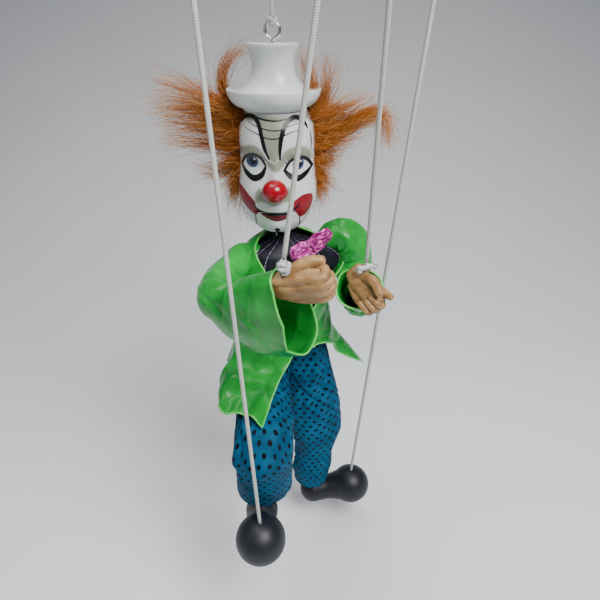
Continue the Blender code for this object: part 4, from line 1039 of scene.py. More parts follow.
FACE_MARKS: tuple[Stroke | Patch, ...] = (
    Patch("shadow", ((-21, -37), (0, -38), (21, -37), (22, -40), (10, -42), (6.5, -47), (4.6, -55),
                     (3.4, -61), (0.6, -64), (-2, -61), (-4.4, -55), (-6.8, -48), (-9, -42), (-22, -40))),
    Patch("shadow", ((-22, -62), (-21, -57), (-12, -54), (-7, -57), (-4, -62), (1, -64), (5, -60), (9, -56),
                     (16, -54.5), (22, -58), (23, -64), (15, -61), (8, -64.5), (3, -69), (-2, -68),
                     (-5.5, -63), (-12.5, -59.5))),
    Patch("shadow", ((-9, -79), (-12, -83), (-12, -89), (-7, -88), (0, -90), (7, -88), (11.5, -88),
                     (11, -82), (8.5, -79), (6, -86), (0, -88.5), (-6, -86))),
    Patch("red", ((-23.8, -80.5), (-20.5, -81.2), (-16.0, -85.2), (-12.6, -88.5), (-11.8, -92),
                  (-10.4, -95.2), (-12.5, -98.2), (-17.5, -95.5), (-22.5, -89.5))),
    Patch("red", ((14.5, -86.2), (18.5, -84.6), (23.4, -85.6), (24.2, -91), (21.0, -98.0), (16.2, -100.2),
                  (13.4, -96), (11.8, -92.5), (10.8, -89.6))),
    Patch("lip", ((-11, -94.8), (-7, -96.4), (0, -97.2), (7, -96.6), (12.2, -95), (8.6, -99), (3.2, -101.2),
                  (-1.4, -101), (-6.4, -98.6))),
    Patch("white", ((-20.2, -66.5), (-16.6, -61.6), (-12.4, -60.2), (-8, -62), (-5.6, -66.4), (-8.2, -70.2),
                    (-13, -71.8), (-17.6, -70.2))),
    Patch("white", ((7.4, -67.6), (10.6, -63.6), (15.4, -62), (20, -64.2), (23, -68.4), (19.6, -71),
                    (14.8, -72.4), (10.4, -71))),
    Patch("iris", ((-17.6, -64.4), (-16, -61.2), (-13, -60.2), (-10.4, -61.6), (-9.4, -64.4),
                   (-10.8, -67.2), (-13.6, -68.2), (-16.4, -67))),
    Patch("iris", ((11.4, -65.8), (12.8, -63), (15.4, -62.2), (17.8, -63.6), (18.4, -66.4), (17, -68.8),
                   (14.6, -69.4), (12.2, -68.2))),
    Stroke("black", ((-13.4, -63.6), (-12.9, -64.2)), (2.3, 2.3)),
    Stroke("black", ((14.8, -65.4), (15.2, -65.7)), (2.2, 2.2)),
    Stroke("glint", ((-12.0, -62.6), (-11.7, -62.9)), (0.55, 0.5)),
    Stroke("glint", ((16.2, -64.2), (16.5, -64.5)), (0.5, 0.45)),
    Stroke("black", ((-19.6, -42.4), (-17.4, -39.6), (-14.4, -38.4), (-10.6, -39.2), (-8.2, -43.0),
                     (-6.6, -49.4), (-5.0, -56.0), (-2.6, -61.6)),
                     (0.4, 0.9, 1.1, 1.25, 1.25, 1.25, 1.2, 0.6)),
    Stroke("black", ((20.6, -45.2), (18.0, -41.2), (14.0, -38.8), (10.2, -39.6), (7.2, -43.0), (5.2, -48.6),
                     (4.2, -55.0), (4.0, -62.0)), (0.4, 0.95, 1.25, 1.4, 1.4, 1.35, 1.15, 0.55)),
    Stroke("black", ((-10.6, -38.8), (-4, -39.9), (2, -40.3), (8.6, -39.4)), (0.5, 0.5, 0.45, 0.45)),
    Stroke("black", ((-15.4, -41.4), (-9.8, -43.4), (-3, -45.0), (3.6, -45.2), (9.6, -43.2), (15.4, -41.8)),
                     (0.2, 0.32, 0.36, 0.36, 0.32, 0.2)),
    Stroke("black", ((-17.4, -44.6), (-10.6, -47.0), (-3.4, -49.6), (3.0, -49.6), (9.4, -47.0),
                     (16.6, -45.2)), (0.2, 0.32, 0.36, 0.36, 0.32, 0.2)),
    Stroke("black", ((-20.4, -67.2), (-17.6, -62.0), (-12.6, -59.8), (-7.8, -61.6), (-5.0, -66.2)),
                     (0.7, 1.0, 1.1, 1.0, 0.7)),
    Stroke("black", ((-20.2, -68.2), (-17.4, -71.8), (-12.4, -74.2), (-7.6, -71.8), (-5.2, -67.4)),
                     (0.8, 1.5, 2.0, 1.6, 0.8)),
    Stroke("black", ((6.6, -68.6), (10.2, -63.6), (15.2, -61.6), (20.2, -63.6), (23.6, -68.4)),
                     (0.8, 1.0, 1.2, 1.2, 0.8)),
    Stroke("black", ((6.6, -68.8), (9.8, -72.2), (14.6, -74.2), (19.4, -72.2), (23.6, -68.6)),
                     (0.9, 1.5, 1.9, 1.5, 0.7)),
    *(Stroke("black", ((x, z), (x + dx, z + 1.9)), (0.24, 0.14)) for x, z, dx in (
        (-12.0, -59.0, 0.3), (-10.4, -59.6, 0.6), (-8.8, -60.4, 0.9), (-7.4, -61.6, 1.2),
        (-6.2, -63.2, 1.4),
        (8.0, -65.4, -1.0), (9.4, -63.6, -0.8), (10.9, -62.4, -0.5), (12.5, -61.4, -0.3),
        (14.2, -60.8, 0.0),
        (16.0, -60.7, 0.2))),
    Stroke("black", ((22.0, -47.0), (22.9, -53.0), (22.9, -59.0)), (0.2, 0.4, 0.2)),
    Stroke("black", ((-15.2, -88.6), (-13.2, -91.6), (-9.4, -94.6), (-3.2, -96.4), (2.6, -96.5),
                     (9.0, -95.2), (13.6, -92.4), (15.8, -89.4)), (0.3, 0.7, 1.0, 1.1, 1.1, 1.0, 0.8, 0.3)),
    Stroke("black", ((-12.7, -97.0), (-12.7, -112.0)), (0.35, 0.35)),
    Stroke("black", ((15.7, -97.0), (15.7, -112.0)), (0.35, 0.35)),
    Patch("black", ((1.3, -106.4), (2.9, -107.2), (3.0, -108.8), (2.2, -110.0), (4.0, -112.0),
                    (6.0, -114.5), (-3.6, -114.5), (-1.4, -112.0), (0.4, -110.0), (-0.4, -108.8),
                    (-0.3, -107.2))),
)


@dataclass
class Head:
    """The carved head with its hinged jaw and ball nose, in millimetres below the hat."""

    sections: tuple[tuple[float, float, float, float], ...] = (
        (0.3, 19.0, 19.0, 19.0), (8, 23.0, 23.4, 23.6), (20, 24.0, 23.8, 25.0), (30, 24.0, 22.4, 25.0),
        (38, 24.8, 23.6, 24.0), (50, 25.8, 24.6, 21.0), (56.5, 25.2, 24.2, 18.0), (63, 22.4, 22.6, 14.5),
        (70, 18.2, 19.9, 11.5), (74.5, 13.8, 15.6, 9.0), (76.5, 10.0, 12.0, 7.0))
    jaw_half: float = 14.0
    jaw_top: float = -96.0
    eyes_at: Pair = (-12.8, 15.0)

    def relief(self, x: Array, z: Array) -> Array:
        """How far the carving stands out of the plain form: bumps for brows, cheeks, muzzle and chin."""
        eyes = sum(bell(np.hypot((x - ex) / 1.25, z + 66.5), 6.0) for ex in self.eyes_at)
        brows = sum(bell(np.hypot((x - ex) / 1.6, (z + 55.5) / 0.8), 6.5) for ex in (-12.0, 14.5))
        cheeks = sum(bell(np.hypot(x - ex, z + 84), 9.0) for ex in (-14.5, 17.5))
        bridge = bell(x - 1.0, 3.6) * ease(z, -84, -74) * (1 - ease(z, -66, -54))
        muzzle = bell(np.hypot((x - 1.2) / 1.5, z + 90.5), 6.5)
        aside = x - HEAD_MIDDLE
        mouth = bell(z + 96.2 - 0.012 * aside ** 2, 1.0) * bell(aside, 11)
        lip = bell(z + 98.8 - 0.010 * aside ** 2, 1.9) * bell(aside, 9)
        chin = bell(np.hypot((x - 1.4) / 1.1, z + 107), 5.0)
        lids = sum(bell(np.hypot((x - ex) / 1.3, z + 66.5) - 8.0, 1.3) for ex in self.eyes_at)
        return (-0.9 * eyes + 1.3 * brows + 1.0 * cheeks + 2.6 * bridge + 1.5 * muzzle - 0.8 * mouth
                + 0.9 * lip + 1.2 * chin + 0.35 * lids)

    def block(self, name: str) -> Piece:
        """The whole carved head: half ovals of unlike depth, front and back, pushed out by the relief."""
        table = np.array(self.sections)
        high, low = table[[0, -1], 0]
        drop = np.concatenate([[high], np.linspace(high, low, 250), [low]])
        width, front, back = through(table[:, 0], table[:, 1:], drop).T
        shrink = np.ones_like(drop)
        shrink[[0, -1]] = 0
        turn = turns(360)
        z = (-HAT_DEPTH - drop)[:, None] * np.ones_like(turn)
        depth = np.where(np.sin(turn) < 0, front[:, None], back[:, None])
        x = HEAD_MIDDLE + (width * shrink)[:, None] * np.cos(turn)
        y = depth * shrink[:, None] * np.sin(turn)
        facing = ease(-np.sin(turn), 0.05, 0.5)
        y = y - self.relief(x, z) * facing * shrink[:, None]
        points = HAT_TOP + np.stack([x, y, z], axis=-1) * MM
        return closed_mesh(name, (points, uv_grid(np.linspace(0, 1, 361), drop)))

    def prism(self, name: str, outline: Sequence[Pair], half: float) -> Piece:
        """A cutter: an outline of (y, z) carried across the head."""
        n = len(outline)
        places = np.array([at(HEAD_MIDDLE + x, y, z) for x in (-half, half) for y, z in outline])
        faces = [tuple(range(n)), tuple(range(2 * n - 1, n - 1, -1))]
        faces += [(i, n + i, n + (i + 1) % n, (i + 1) % n) for i in range(n)]
        mesh = bpy.data.meshes.new(name)
        mesh.from_pydata(places.tolist(), [], faces)
        cutter = bpy.data.objects.new(name, mesh)
        bpy.context.scene.collection.objects.link(cutter)
        return welded(cutter)

    def cut(self, piece: Piece, cutter: Piece, operation: str) -> Piece:
        """Cut a piece with a cutter and remove the cutter."""
        change = piece.modifiers.new("cut", "BOOLEAN")
        change.object, change.operation, change.solver = cutter, operation, "EXACT"
        baked(piece)
        bpy.data.objects.remove(cutter, do_unlink=True)
        return piece

    def paint(self, piece: Piece) -> None:
        """Store the distance to each painted mark at every vertex; marks lie on the front only."""
        mesh = piece.data
        places = np.empty(len(mesh.vertices) * 3, np.float32)
        mesh.vertices.foreach_get("co", places)
        x, y, z = ((places.reshape(-1, 3) - HAT_TOP) / MM).T
        behind = np.where(y < -2, -FAR_OFF, FAR_OFF)
        for label, _ in FacePaint().marks:
            best = np.full(x.shape, FAR_OFF)
            for mark in FACE_MARKS:
                if mark.paint == label:
                    best = np.minimum(best, mark.distance(x, z))
            store = mesh.attributes.new(label, "FLOAT", "POINT")
            store.data.foreach_set("value", np.maximum(best, behind).astype(np.float32))

    def build(self, palette: Palette) -> None:
        """Make the head with a slot for the jaw, the jaw and the nose."""
        top, low, front = self.jaw_top, -122, -45
        slot = [(front, top + 1.0), (-2.2, top + 1.0), (-2.2, low), (front, low)]
        clear = self.prism("slot", slot, self.jaw_half + 0.3)
        head = self.cut(self.block("head_carved"), clear, "DIFFERENCE")
        chin = [(front, top), (-3.3, top), (-3.3, top - 5), (-9.1, low), (front, low)]
        jaw = self.cut(self.block("jaw_carved"), self.prism("chin", chin, self.jaw_half), "INTERSECT")
        for piece in (head, jaw):
            self.paint(piece)
        dress(head, palette.face, Body.HEAD, ["head"])
        dress(jaw, palette.face, Body.JAW, ["jaw"])
        self.build_nose(palette)

    def build_nose(self, palette: Palette) -> None:
        """A ball nose with a low wing each side: an oval ball pushed out sideways at its base."""
        ball, uv = ball_grid(64, 41)
        x, y, z = np.moveaxis(ball, -1, 0)
        wing = bell(y - 0.35, 0.45) * bell(z + 0.35, 0.5) * np.abs(x) ** 2
        form = np.stack([x * (7.6 + 1.9 * wing), y * 8.0, z * 6.9], axis=-1)
        nose = closed_mesh("nose_ball", (at(0.6, -29.0, -79.8) + form * MM, uv))
        dress(nose, palette.nose, Body.HEAD)


@dataclass(frozen=True)
class Lock:
    """A lock of fur: its middle line, its half breadth at root and tip in millimetres, and its strands."""

    places: tuple[Triple, ...]
    root: float
    tip: float
    strands: int
    least: Triple = (-88, -60, -125)
    most: Triple = (88, 55, 20)

    def paths(self, rng: np.random.Generator, steps: int) -> Array:
        """Strands line(s) + breadth(s) * offset, with waves and a random walk that grow with s."""
        n, knots = self.strands, np.arange(len(self.places), dtype=float)
        s = np.linspace(0, 1, steps)
        reach = np.minimum(rng.uniform(0.3, 1.15, n), 1.0)[:, None] * s
        line = through(knots, np.array(self.places), reach * knots[-1])
        offset = unit(rng.normal(0, 1, (n, 3))) * rng.uniform(0, 1, (n, 1)) ** 0.6
        breadth = self.root + (self.tip - self.root) * s
        phase = rng.uniform(0, TURN, (n, 3))
        twists = rng.uniform(4.0, 15.0, (n, 1))
        size = (0.7 + 2.2 * rng.uniform(0, 1, (n, 1)) ** 2) * s ** 0.9
        wave = np.stack([size * np.sin(twists * s + phase[:, i:i + 1]) for i in range(3)], axis=-1)
        way = rng.normal(0, 1, (n, 1, 3))
        stray = way * ((1.9 + rng.uniform(0, 1, (n, 1)) ** 5 * 9) * s ** 1.6)[..., None]
        frizz = np.cumsum(rng.normal(0, 0.5, (n, steps, 3)), axis=1) * (s ** 0.5)[:, None]
        strands = line + offset[:, None] * breadth[:, None] + wave + stray + frizz
        return HAT_TOP + np.clip(strands, self.least, self.most) * MM


@dataclass
class Tuft:
    """A tuft of fur made of locks, over a dark core."""

    node: str
    seed: int
    locks: tuple[Lock, ...]
    core: tuple[tuple[float, float, float, float, float], ...]
    flat: Triple
    steps: int = 13
    thick: float = 0.15
    batch: int = 2500

    def build(self, palette: Palette) -> None:
        """Make the strands in batches, and the core."""
        rng = np.random.default_rng(self.seed)
        paths = np.concatenate([lock.paths(rng, self.steps) for lock in self.locks])
        for number, start in enumerate(range(0, len(paths), self.batch), 1):
            name = f"{self.node}_strands_{number}"
            self.build_strands(palette, rng, paths[start:start + self.batch], name)
        self.build_core(palette)

    def build_strands(self, palette: Palette, rng: np.random.Generator, path: Array, name: str) -> None:
        """Make strands as thin three-sided tubes that taper."""
        n, k = path.shape[:2]
        along = unit(np.gradient(path, axis=1))
        across = unit(np.cross(along, unit(rng.normal(0, 1, (n, 1, 3)))))
        other = np.cross(along, across)
        radius = (np.linspace(1, 0.3, k) * self.thick * MM)[None, :, None]
        sides = [path + (across * math.cos(t) + other * math.sin(t)) * radius for t in turns(3)]
        rings = np.stack(sides, axis=2)
        index = np.arange(n * k * 3).reshape(n, k, 3)
        right = np.roll(index, -1, axis=2)
        quads = np.stack([index[:, :-1], right[:, :-1], right[:, 1:], index[:, 1:]], axis=-1).reshape(-1, 4)
        tone = np.broadcast_to(rng.uniform(0, 1, (n, 1, 1)), (n, k - 1, 3))
        s = np.linspace(0, 1, k)[:, None]
        low, high = (np.broadcast_to(row, (n, k - 1, 3)) for row in (s[:-1], s[1:]))
        corners = np.stack([np.stack([tone, v], axis=-1) for v in (low, low, high, high)], axis=3)
        fur = quads_mesh(name, rings.reshape(-1, 3), quads, corners.reshape(-1, 4, 2))
        dress(fur, palette.fur, Body.HEAD, [self.node])

    def build_core(self, palette: Palette) -> None:
        """The core: ovals carried from the scalp outwards."""
        knots = np.array(self.core)
        q = np.linspace(0, len(knots) - 1, 24)
        x, y, z, high, deep = through(np.arange(len(knots), dtype=float), knots, q).T
        size = np.concatenate([[0], np.ones(len(q) - 2), [0]])
        t = turns(48)
        points = (np.stack([x, y, z], axis=-1)[:, None]
                  + np.array(self.flat) * ((deep * size)[:, None] * np.cos(t))[..., None]
                  + UP * ((high * size)[:, None] * np.sin(t))[..., None])
        uv = uv_grid(np.linspace(0, 0.3, 49), np.linspace(0.15, 0.35, len(q)))
        core = closed_mesh(self.node + "_core", (HAT_TOP + points * MM, uv))
        dress(core, palette.fur, Body.HEAD)


def puffs(side: int, out: float) -> tuple[Lock, ...]:
    """Short locks that cover one side of the head, in rows of (height, reach, lift)."""
    rows = ((-42, 0.9, 7), (-50, 1.0, 4), (-58, 1.0, 1), (-66, 0.95, -3), (-74, 0.7, -9), (-82, 0.35, -11))
    made = []
    for z, reach, lift in rows:
        for y in (-4.5, 4.0, 13.0):
            far = out * reach * (1.0 if y < 5 else 0.85)
            line = ((18, 0, 0.0), (25, 1, 0.2), (25 + far * 0.6, 3, 0.7), (25 + far, 5, 1.2))
            made.append(Lock(tuple((HEAD_MIDDLE + side * x, y + back, z + lift * share)
                                   for x, back, share in line), 5.0, 6.5, 87))
    return tuple(made)


HAIR = (
    Tuft("hair_right", 11, (
        Lock(((-16, 9, -44), (-25, 7, -40), (-32, 8, -28), (-31, 8, -15), (-23, 8, -5), (-15, 10, -4)), 3.5,
             2.2, 210),
        Lock(((-16, 4, -46), (-23, 4, -42), (-37, 4, -33), (-54, 3, -26), (-72, 2, -21)), 5.0, 6.0, 360),
        Lock(((-16, 4, -50), (-23, 4, -47), (-39, 4, -40), (-58, 3, -36), (-76, 2, -37)), 5.0, 5.5, 420),
        Lock(((-16, 4, -56), (-23, 4, -53), (-40, 4, -48), (-54, 4, -46), (-70, 3, -45)), 5.0, 5.5, 380),
        Lock(((-16, 5, -64), (-23, 5, -62), (-39, 5, -59), (-54, 4, -57), (-73, 3, -56)), 5.0, 4.5, 280),
        Lock(((-16, 6, -70), (-24, 6, -69), (-34, 6, -75), (-43, 6, -77), (-53, 5, -75)), 4.5, 5.0, 220),
        Lock(((-15, 7, -72), (-24, 6, -76), (-29, 6, -88), (-29, 6, -100)), 4.5, 4.0, 240),
        Lock(((-12, 14, -80), (-20, 14, -92), (-21, 13, -103), (-19, 12, -112)), 4.0, 3.0, 200),
        *puffs(-1, 16)),
        ((-16, 9, -60, 18, 7), (-24, 9, -58, 17, 7), (-30, 9, -55, 11, 5), (-34, 9, -53, 5, 2)), (0, 1, 0)),
    Tuft("hair_left", 23, (
        Lock(((17, 12, -44), (23, 9, -39), (24, 10, -27), (21, 12, -15), (18, 12, -5)), 4.0, 3.0, 230),
        Lock(((20, 8, -44), (27, 6, -39), (32, 6, -29), (34, 6, -17), (34, 5, -7)), 3.5, 2.5, 200),
        Lock(((20, 5, -46), (27, 5, -43), (38, 5, -39), (47, 4, -35), (55, 3, -31)), 5.0, 5.0, 330),
        Lock(((20, 5, -54), (28, 5, -51), (44, 4, -47), (55, 3, -41), (65, 2, -39), (70, 0, -45),
             (72, 0, -58)), 5.0, 2.6, 460),
        Lock(((20, 5, -58), (28, 5, -56), (42, 4, -52), (54, 3, -45), (64, 2, -41)), 4.5, 3.0, 330),
        Lock(((20, 6, -62), (28, 6, -60), (40, 5, -57), (49, 4, -52)), 5.0, 4.5, 280),
        Lock(((20, 6, -68), (28, 6, -68), (36, 6, -69), (40, 6, -64)), 4.5, 4.5, 200),
        Lock(((20, 7, -72), (27, 6, -75), (31, 6, -85), (28, 6, -95)), 4.0, 3.0, 230),
        *puffs(1, 12)),
        ((19, 9, -60, 18, 7), (27, 9, -58, 17, 7), (33, 9, -55, 11, 5), (36, 9, -53, 5, 2)), (0, 1, 0)),
    Tuft("hair_back", 37, tuple(
        Lock(((HEAD_MIDDLE + x, 15, -88), (HEAD_MIDDLE + x, 18, -96), (HEAD_MIDDLE + x * 0.9, 18, -104),
              (HEAD_MIDDLE + x * 0.8, 17, -111)), 4.5, 3.5, 120)
        for x in (-11, -4, 4, 11)) + tuple(
        Lock(((HEAD_MIDDLE + x, 18, z), (HEAD_MIDDLE + x * 1.05, 25, z - 1),
              (HEAD_MIDDLE + x * 1.2, 34, z - 5 - drop * 0.4), (HEAD_MIDDLE + x * 1.3, 42, z - 10 - drop)),
             6.0, 6.0, 160)
        for z, drop in ((-42, 4), (-52, 6), (-62, 8), (-72, 10), (-80, 12), (-87, 13))
        for x in (-17, -6, 6, 17)),
        tuple((HEAD_MIDDLE, *rest) for rest in ((16, -60, 20, 20), (25, -61, 21, 20), (32, -64, 16, 15),
                                                (37, -66, 7, 7))), (1, 0, 0)),
)


# Clothes
@dataclass(frozen=True)
class Creases:
    """Short random creases on a cloth, for surface coordinates in millimetres."""

    seed: int
    count: int
    length: float
    width: float
    height: float
    lean: float = 0.0
    spread: float = 0.9

    def relief(self, u: Array, v: Array, period: float = 0.0) -> Array:
        """The sum of ridges h * exp(-(off / width)^2 - (along / length)^2), up and down, at random."""
        rng = np.random.default_rng(self.seed)
        total = np.zeros_like(u)
        for _ in range(self.count):
            cu, cv = rng.uniform(u.min(), u.max()), rng.uniform(v.min(), v.max())
            angle = self.lean + rng.normal(0, self.spread)
            du, dv = u - cu, v - cv
            if period:
                du = (du + period / 2) % period - period / 2
            along = du * math.cos(angle) + dv * math.sin(angle)
            off = dv * math.cos(angle) - du * math.sin(angle)
            size = rng.uniform(0.5, 1.2)
            total += (rng.choice((-1.0, 1.0)) * self.height * size
                      * np.exp(-((off / (self.width * size)) ** 2) - (along / (self.length * size)) ** 2))
        return total


@dataclass(frozen=True)
class Stop:
    """A place on a cloth tube's middle line, its half sizes in millimetres, and whether cloth folds there."""

    place: Array
    across: float
    ahead: float
    fold: bool = False


@dataclass
class ClothTube:
    """A loose cloth tube over a limb, folded flat inside each bend.

    The cut draws its last rows back, in millimetres at even turns from the top by way of the near side.
    """

    stops: Sequence[Stop]
    across: Array
    bend: float
    rows: int = 150
    around: int = 112
    creases: Sequence[Creases] = ()
    cut: Sequence[float] = (0.0, 0.0)

    def skin(self) -> Grid:
        """Ovals along the rounded line of stops, creased, folded at its bends and cut at its end.

        Returns:
            The grid of points and its surface coordinates in millimetres.
        """
        places = np.array([stop.place for stop in self.stops])
        path = rounded(places, self.bend * MM, self.rows)
        legs = run_along(places)
        share = np.linspace(0, 1, self.rows)
        halves = through(legs / legs[-1], np.array([(s.across, s.ahead) for s in self.stops]), share) * MM
        side, other = frames(path, self.across)
        turn = turns(self.around)
        points = (path[:, None] + side[:, None] * (halves[:, :1] * np.cos(turn))[..., None]
                  + other[:, None] * (halves[:, 1:] * np.sin(turn))[..., None])
        length = np.sum(np.linalg.norm(np.diff(path, axis=0), axis=1)) / MM
        girth = round(TURN * np.mean(halves) / MM / SPOT_PITCH) * SPOT_PITCH
        u, v = np.meshgrid(np.linspace(0, girth, self.around + 1), share * length)
        relief = sum(c.relief(u[:, :-1], v[:, :-1], girth) for c in self.creases)
        points = points + unit(points - path[:, None]) * (relief * MM)[..., None]
        steps = np.linalg.norm(np.diff(points, axis=0), axis=-1) / MM
        v[1:, :-1] = (v[1:, :-1] + np.cumsum(steps, axis=0)) / 2
        for i in (i for i, stop in enumerate(self.stops) if stop.fold):
            points = self.folded(points, path, places[i - 1:i + 2], 3 * halves.max())
        short = np.interp(turn, np.linspace(0, TURN, len(self.cut)), self.cut) / length
        spot = (share[:, None] - short * ease(share, 0.6, 1.0)[:, None]) * (self.rows - 1)
        low = np.clip(spot.astype(int), 0, self.rows - 2)
        part, column = spot - low, np.arange(self.around)
        points = points[low, column] * (1 - part)[..., None] + points[low + 1, column] * part[..., None]
        v[:, :-1] = v[low, column] * (1 - part) + v[low + 1, column] * part
        v[:, -1] = v[:, 0]
        return points, np.stack([u, v], axis=-1)

    def folded(self, points: Array, path: Array, bend: Array, reach: float) -> Array:
        """Cloth near a bend, with what passes the bend's halving plane laid on that plane.

        Args:
            points: The tube's grid.
            path: Its middle line.
            bend: The places before, at and after the bend.
            reach: How far from the bend the cloth is laid.

        Returns:
            The changed grid.
        """
        before, corner, after = bend
        halving = unit(unit(corner - before) + unit(after - corner))
        above = ((path - corner) @ halving < 0)[:, None]
        over = (points - corner) @ halving
        near = np.linalg.norm(points - corner, axis=-1) < reach
        limit = np.where(above, -CLOTH_WALL, CLOTH_WALL)
        past = near & np.where(above, over > limit, over < limit)
        return points - halving * np.where(past, over - limit, 0)[..., None]


def hem_roll(edge: Array) -> Grid:
    """A thin rolled hem: a round tube along the closed edge of a cloth tube."""
    side = unit(np.cross(edge[1] - edge[0], (0.31, 0.2, 0.9)))
    return tube_grid(np.concatenate([edge, edge[:1]]), HEM_RADIUS, 8, side)


@dataclass(frozen=True)
class Sewing:
    """How a limb's cloth is sewn: the names of its two lengths, its node and slot, and what carries it.

    The reaches are distances, in metres, to each side of the limb's first and second joint.
    """

    lengths: tuple[str, str]
    node: str
    slot: str
    bodies: tuple[str, str]
    hung_on: str
    reaches: Pair


SLEEVE = Sewing(("sleeve_top", "sleeve_cuff"), "sleeve", "green_satin", ("upper_arm", "forearm"), "jacket",
                (0.012, 0.010))
TROUSERS = Sewing(("trouser_top", "trouser_shin"), "trouser_leg", "blue_cotton", ("thigh", "shin"),
                  "trouser_seat", (0.014, 0.012))


@dataclass
class Limb:
    """What both arms and legs share: a cloth tube in two lengths, parted between the first two joints."""

    side: Side

    def clothe(self, sewing: Sewing, tube: ClothTube, joints: tuple[Array, Array, Array], cloth: Material,
               trim: Material) -> None:
        """Make the two lengths of a cloth tube, parted midway between the first two joints.

        Args:
            sewing: How the cloth is sewn.
            tube: The whole tube.
            joints: The limb's three joints from the trunk outwards.
            cloth: The cloth's finish.
            trim: The finish of the rolled hem at the tube's end. On the sleeves it is a paler green satin,
                painted highlight along the cuff's edge.
        """
        side = self.side.value
        points, uv = tube.skin()
        root, bend, end = joints
        upper = unit(bend - root)
        split = int(np.argmin(np.linalg.norm(points.mean(axis=1) - (root + bend) / 2, axis=1)))
        first, second = (f"{body}_{side}" for body in sewing.bodies)
        halving = unit(upper + unit(end - bend))
        rows = ((slice(0, split + 1), Body.TRUNK.value, first, root, upper, sewing.hung_on),
                (slice(split, None), first, second, bend, halving, second))
        for length, reach, row in zip(sewing.lengths, sewing.reaches, rows):
            part, body, next_body, joint, along, rest = row
            piece = add_wall(grid_mesh(f"{length}_{side}", points[part], uv[part], wrap=True))
            pieces = [dress(piece, cloth, None, [f"{sewing.node}_{side}"])]
            if next_body == second:
                hem = closed_mesh(f"{length}_{side}_hem", hem_roll(points[-1]))
                pieces.append(dress(hem, trim, None))
            for made in pieces:
                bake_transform(made)


@dataclass
class Arm(Limb):
    """A sleeve in two lengths, a carved fist and the wire eye at its wrist."""

    shoulder: Array
    elbow: Array
    wrist: Array
    hand_ahead: Array
    thumb_side: Array
    eye_top: Array
    stops: Sequence[Stop]
    hand_shift: Triple
    cut: Sequence[float]
    seed: int
    hand_scale: float = 0.93

    def build(self, palette: Palette) -> None:
        """Make the sleeve, the hand and the eye."""
        self.build_sleeve(palette)
        self.build_hand(palette)
        rise = unit(self.eye_top - self.wrist)
        name, seat = self.side.value, self.eye_top - rise * (7.8 * MM)
        WireEye(f"hand_eye_{name}", f"forearm_{name}", seat, rise, (1, 0, 0), 2.5).build(palette)

    def build_sleeve(self, palette: Palette) -> None:
        """The sleeve: out of the jacket's armhole, round the shoulder and the elbow to the cuff."""
        creases = (Creases(self.seed, 46, 10, 1.6, 0.6, 0.2, 0.9),
                   Creases(self.seed + 1, 22, 22, 3.4, 1.5, 0.9, 0.5))
        tube = ClothTube(self.stops, UP, 7.0, creases=creases, cut=self.cut)
        # The cuff's rolled hem takes the paler green satin: painted highlight along its edge.
        self.clothe(SLEEVE, tube, (self.shoulder, self.elbow, self.wrist), palette.green, palette.hem)

    def members(self) -> list[Array]:
        """The hand's palm, thumb and fingers as rows of (ahead, thumbward, palmward, half size)."""
        runs = [((-1.5, 1.5, 0, 5.6), (3, 1, 0, 6.4), (7, 0.5, 0, 6.4), (12, 0.5, 0, 6.4), (18, 1, 0, 6.8),
                 (21, 1, 0, 6.2)),
                ((-2, 5.5, 0, 4.8), (4, 5.0, 0, 4.8), (14, 6.0, 0, 5.0), (20, 6, 0, 4.6)),
                ((4, -3.6, 0, 4.6), (7, -4.8, 0, 4.6), (14, -6, 0, 5.0), (20, -6, 0, 4.6)),
                ((5, 6.5, 3.0, 3.4), (12, 10.0, 5.5, 3.5), (18, 11.0, 8.0, 3.1), (23.5, 9.5, 9.6, 2.5))]
        pointing = ((15, 7.0, -1.0, 3.1), (20, 8.6, -1.2, 2.9), (24, 9.8, -0.6, 2.6), (28, 11.2, 0.6, 2.1))
        for i, (high, more) in enumerate(((7.2, 0.0), (2.5, 1.4), (-2.3, 1.0), (-7.0, -1.2))):
            curled = ((16, high, -1.8, 2.5), (22.5 + more, high * 1.05, -2.8, 2.35),
                      (27.0 + more, high * 1.05, 0.6, 2.25), (25.6 + more, high, 5.6, 2.1),
                      (20.0 + more, high * 0.96, 7.0, 2.0))
            runs.append(pointing if i == 0 and self.side is Side.LEFT else curled)
        return [np.array(run) for run in runs]

    def build_hand(self, palette: Palette) -> None:
        """A carved hand: squared balls |x|^4 + |y|^4 + |z|^4 = 1 along its members, drawn into one skin."""
        ahead = unit(self.hand_ahead)
        thumb = unit(self.thumb_side - ahead * (self.thumb_side @ ahead))
        axes = np.stack([ahead, thumb, np.cross(ahead, thumb) * self.side.sign])
        balls = []
        for run in self.members():
            along = np.arange(len(run), dtype=float)
            balls.append(through(along, run, np.linspace(0, along[-1], 9 * (len(run) - 1))))
        centres = np.concatenate(balls)
        ball, uv = ball_grid(16, 11)
        ball = ball / (np.abs(ball) ** 4).sum(axis=-1, keepdims=True) ** 0.25 @ axes
        centres *= self.hand_scale
        middle = self.wrist + (centres[:, :3] @ axes + self.hand_shift) * MM
        grids = [(m + ball * (r * MM), uv) for m, r in zip(middle, centres[:, 3])]
        hand = closed_mesh(f"fist_{self.side.value}", *grids)
        remesh = hand.modifiers.new("skin", "REMESH")
        remesh.mode, remesh.voxel_size = "VOXEL", 0.4 * MM
        soften = hand.modifiers.new("soften", "SMOOTH")
        soften.factor, soften.iterations = 0.5, 2
        # The stored hollow depths mark where the hand's wood gets painted shade.
        store_hollows(baked(hand))
        dress(hand, palette.hand, f"forearm_{self.side.value}", [f"hand_{self.side.value}"])


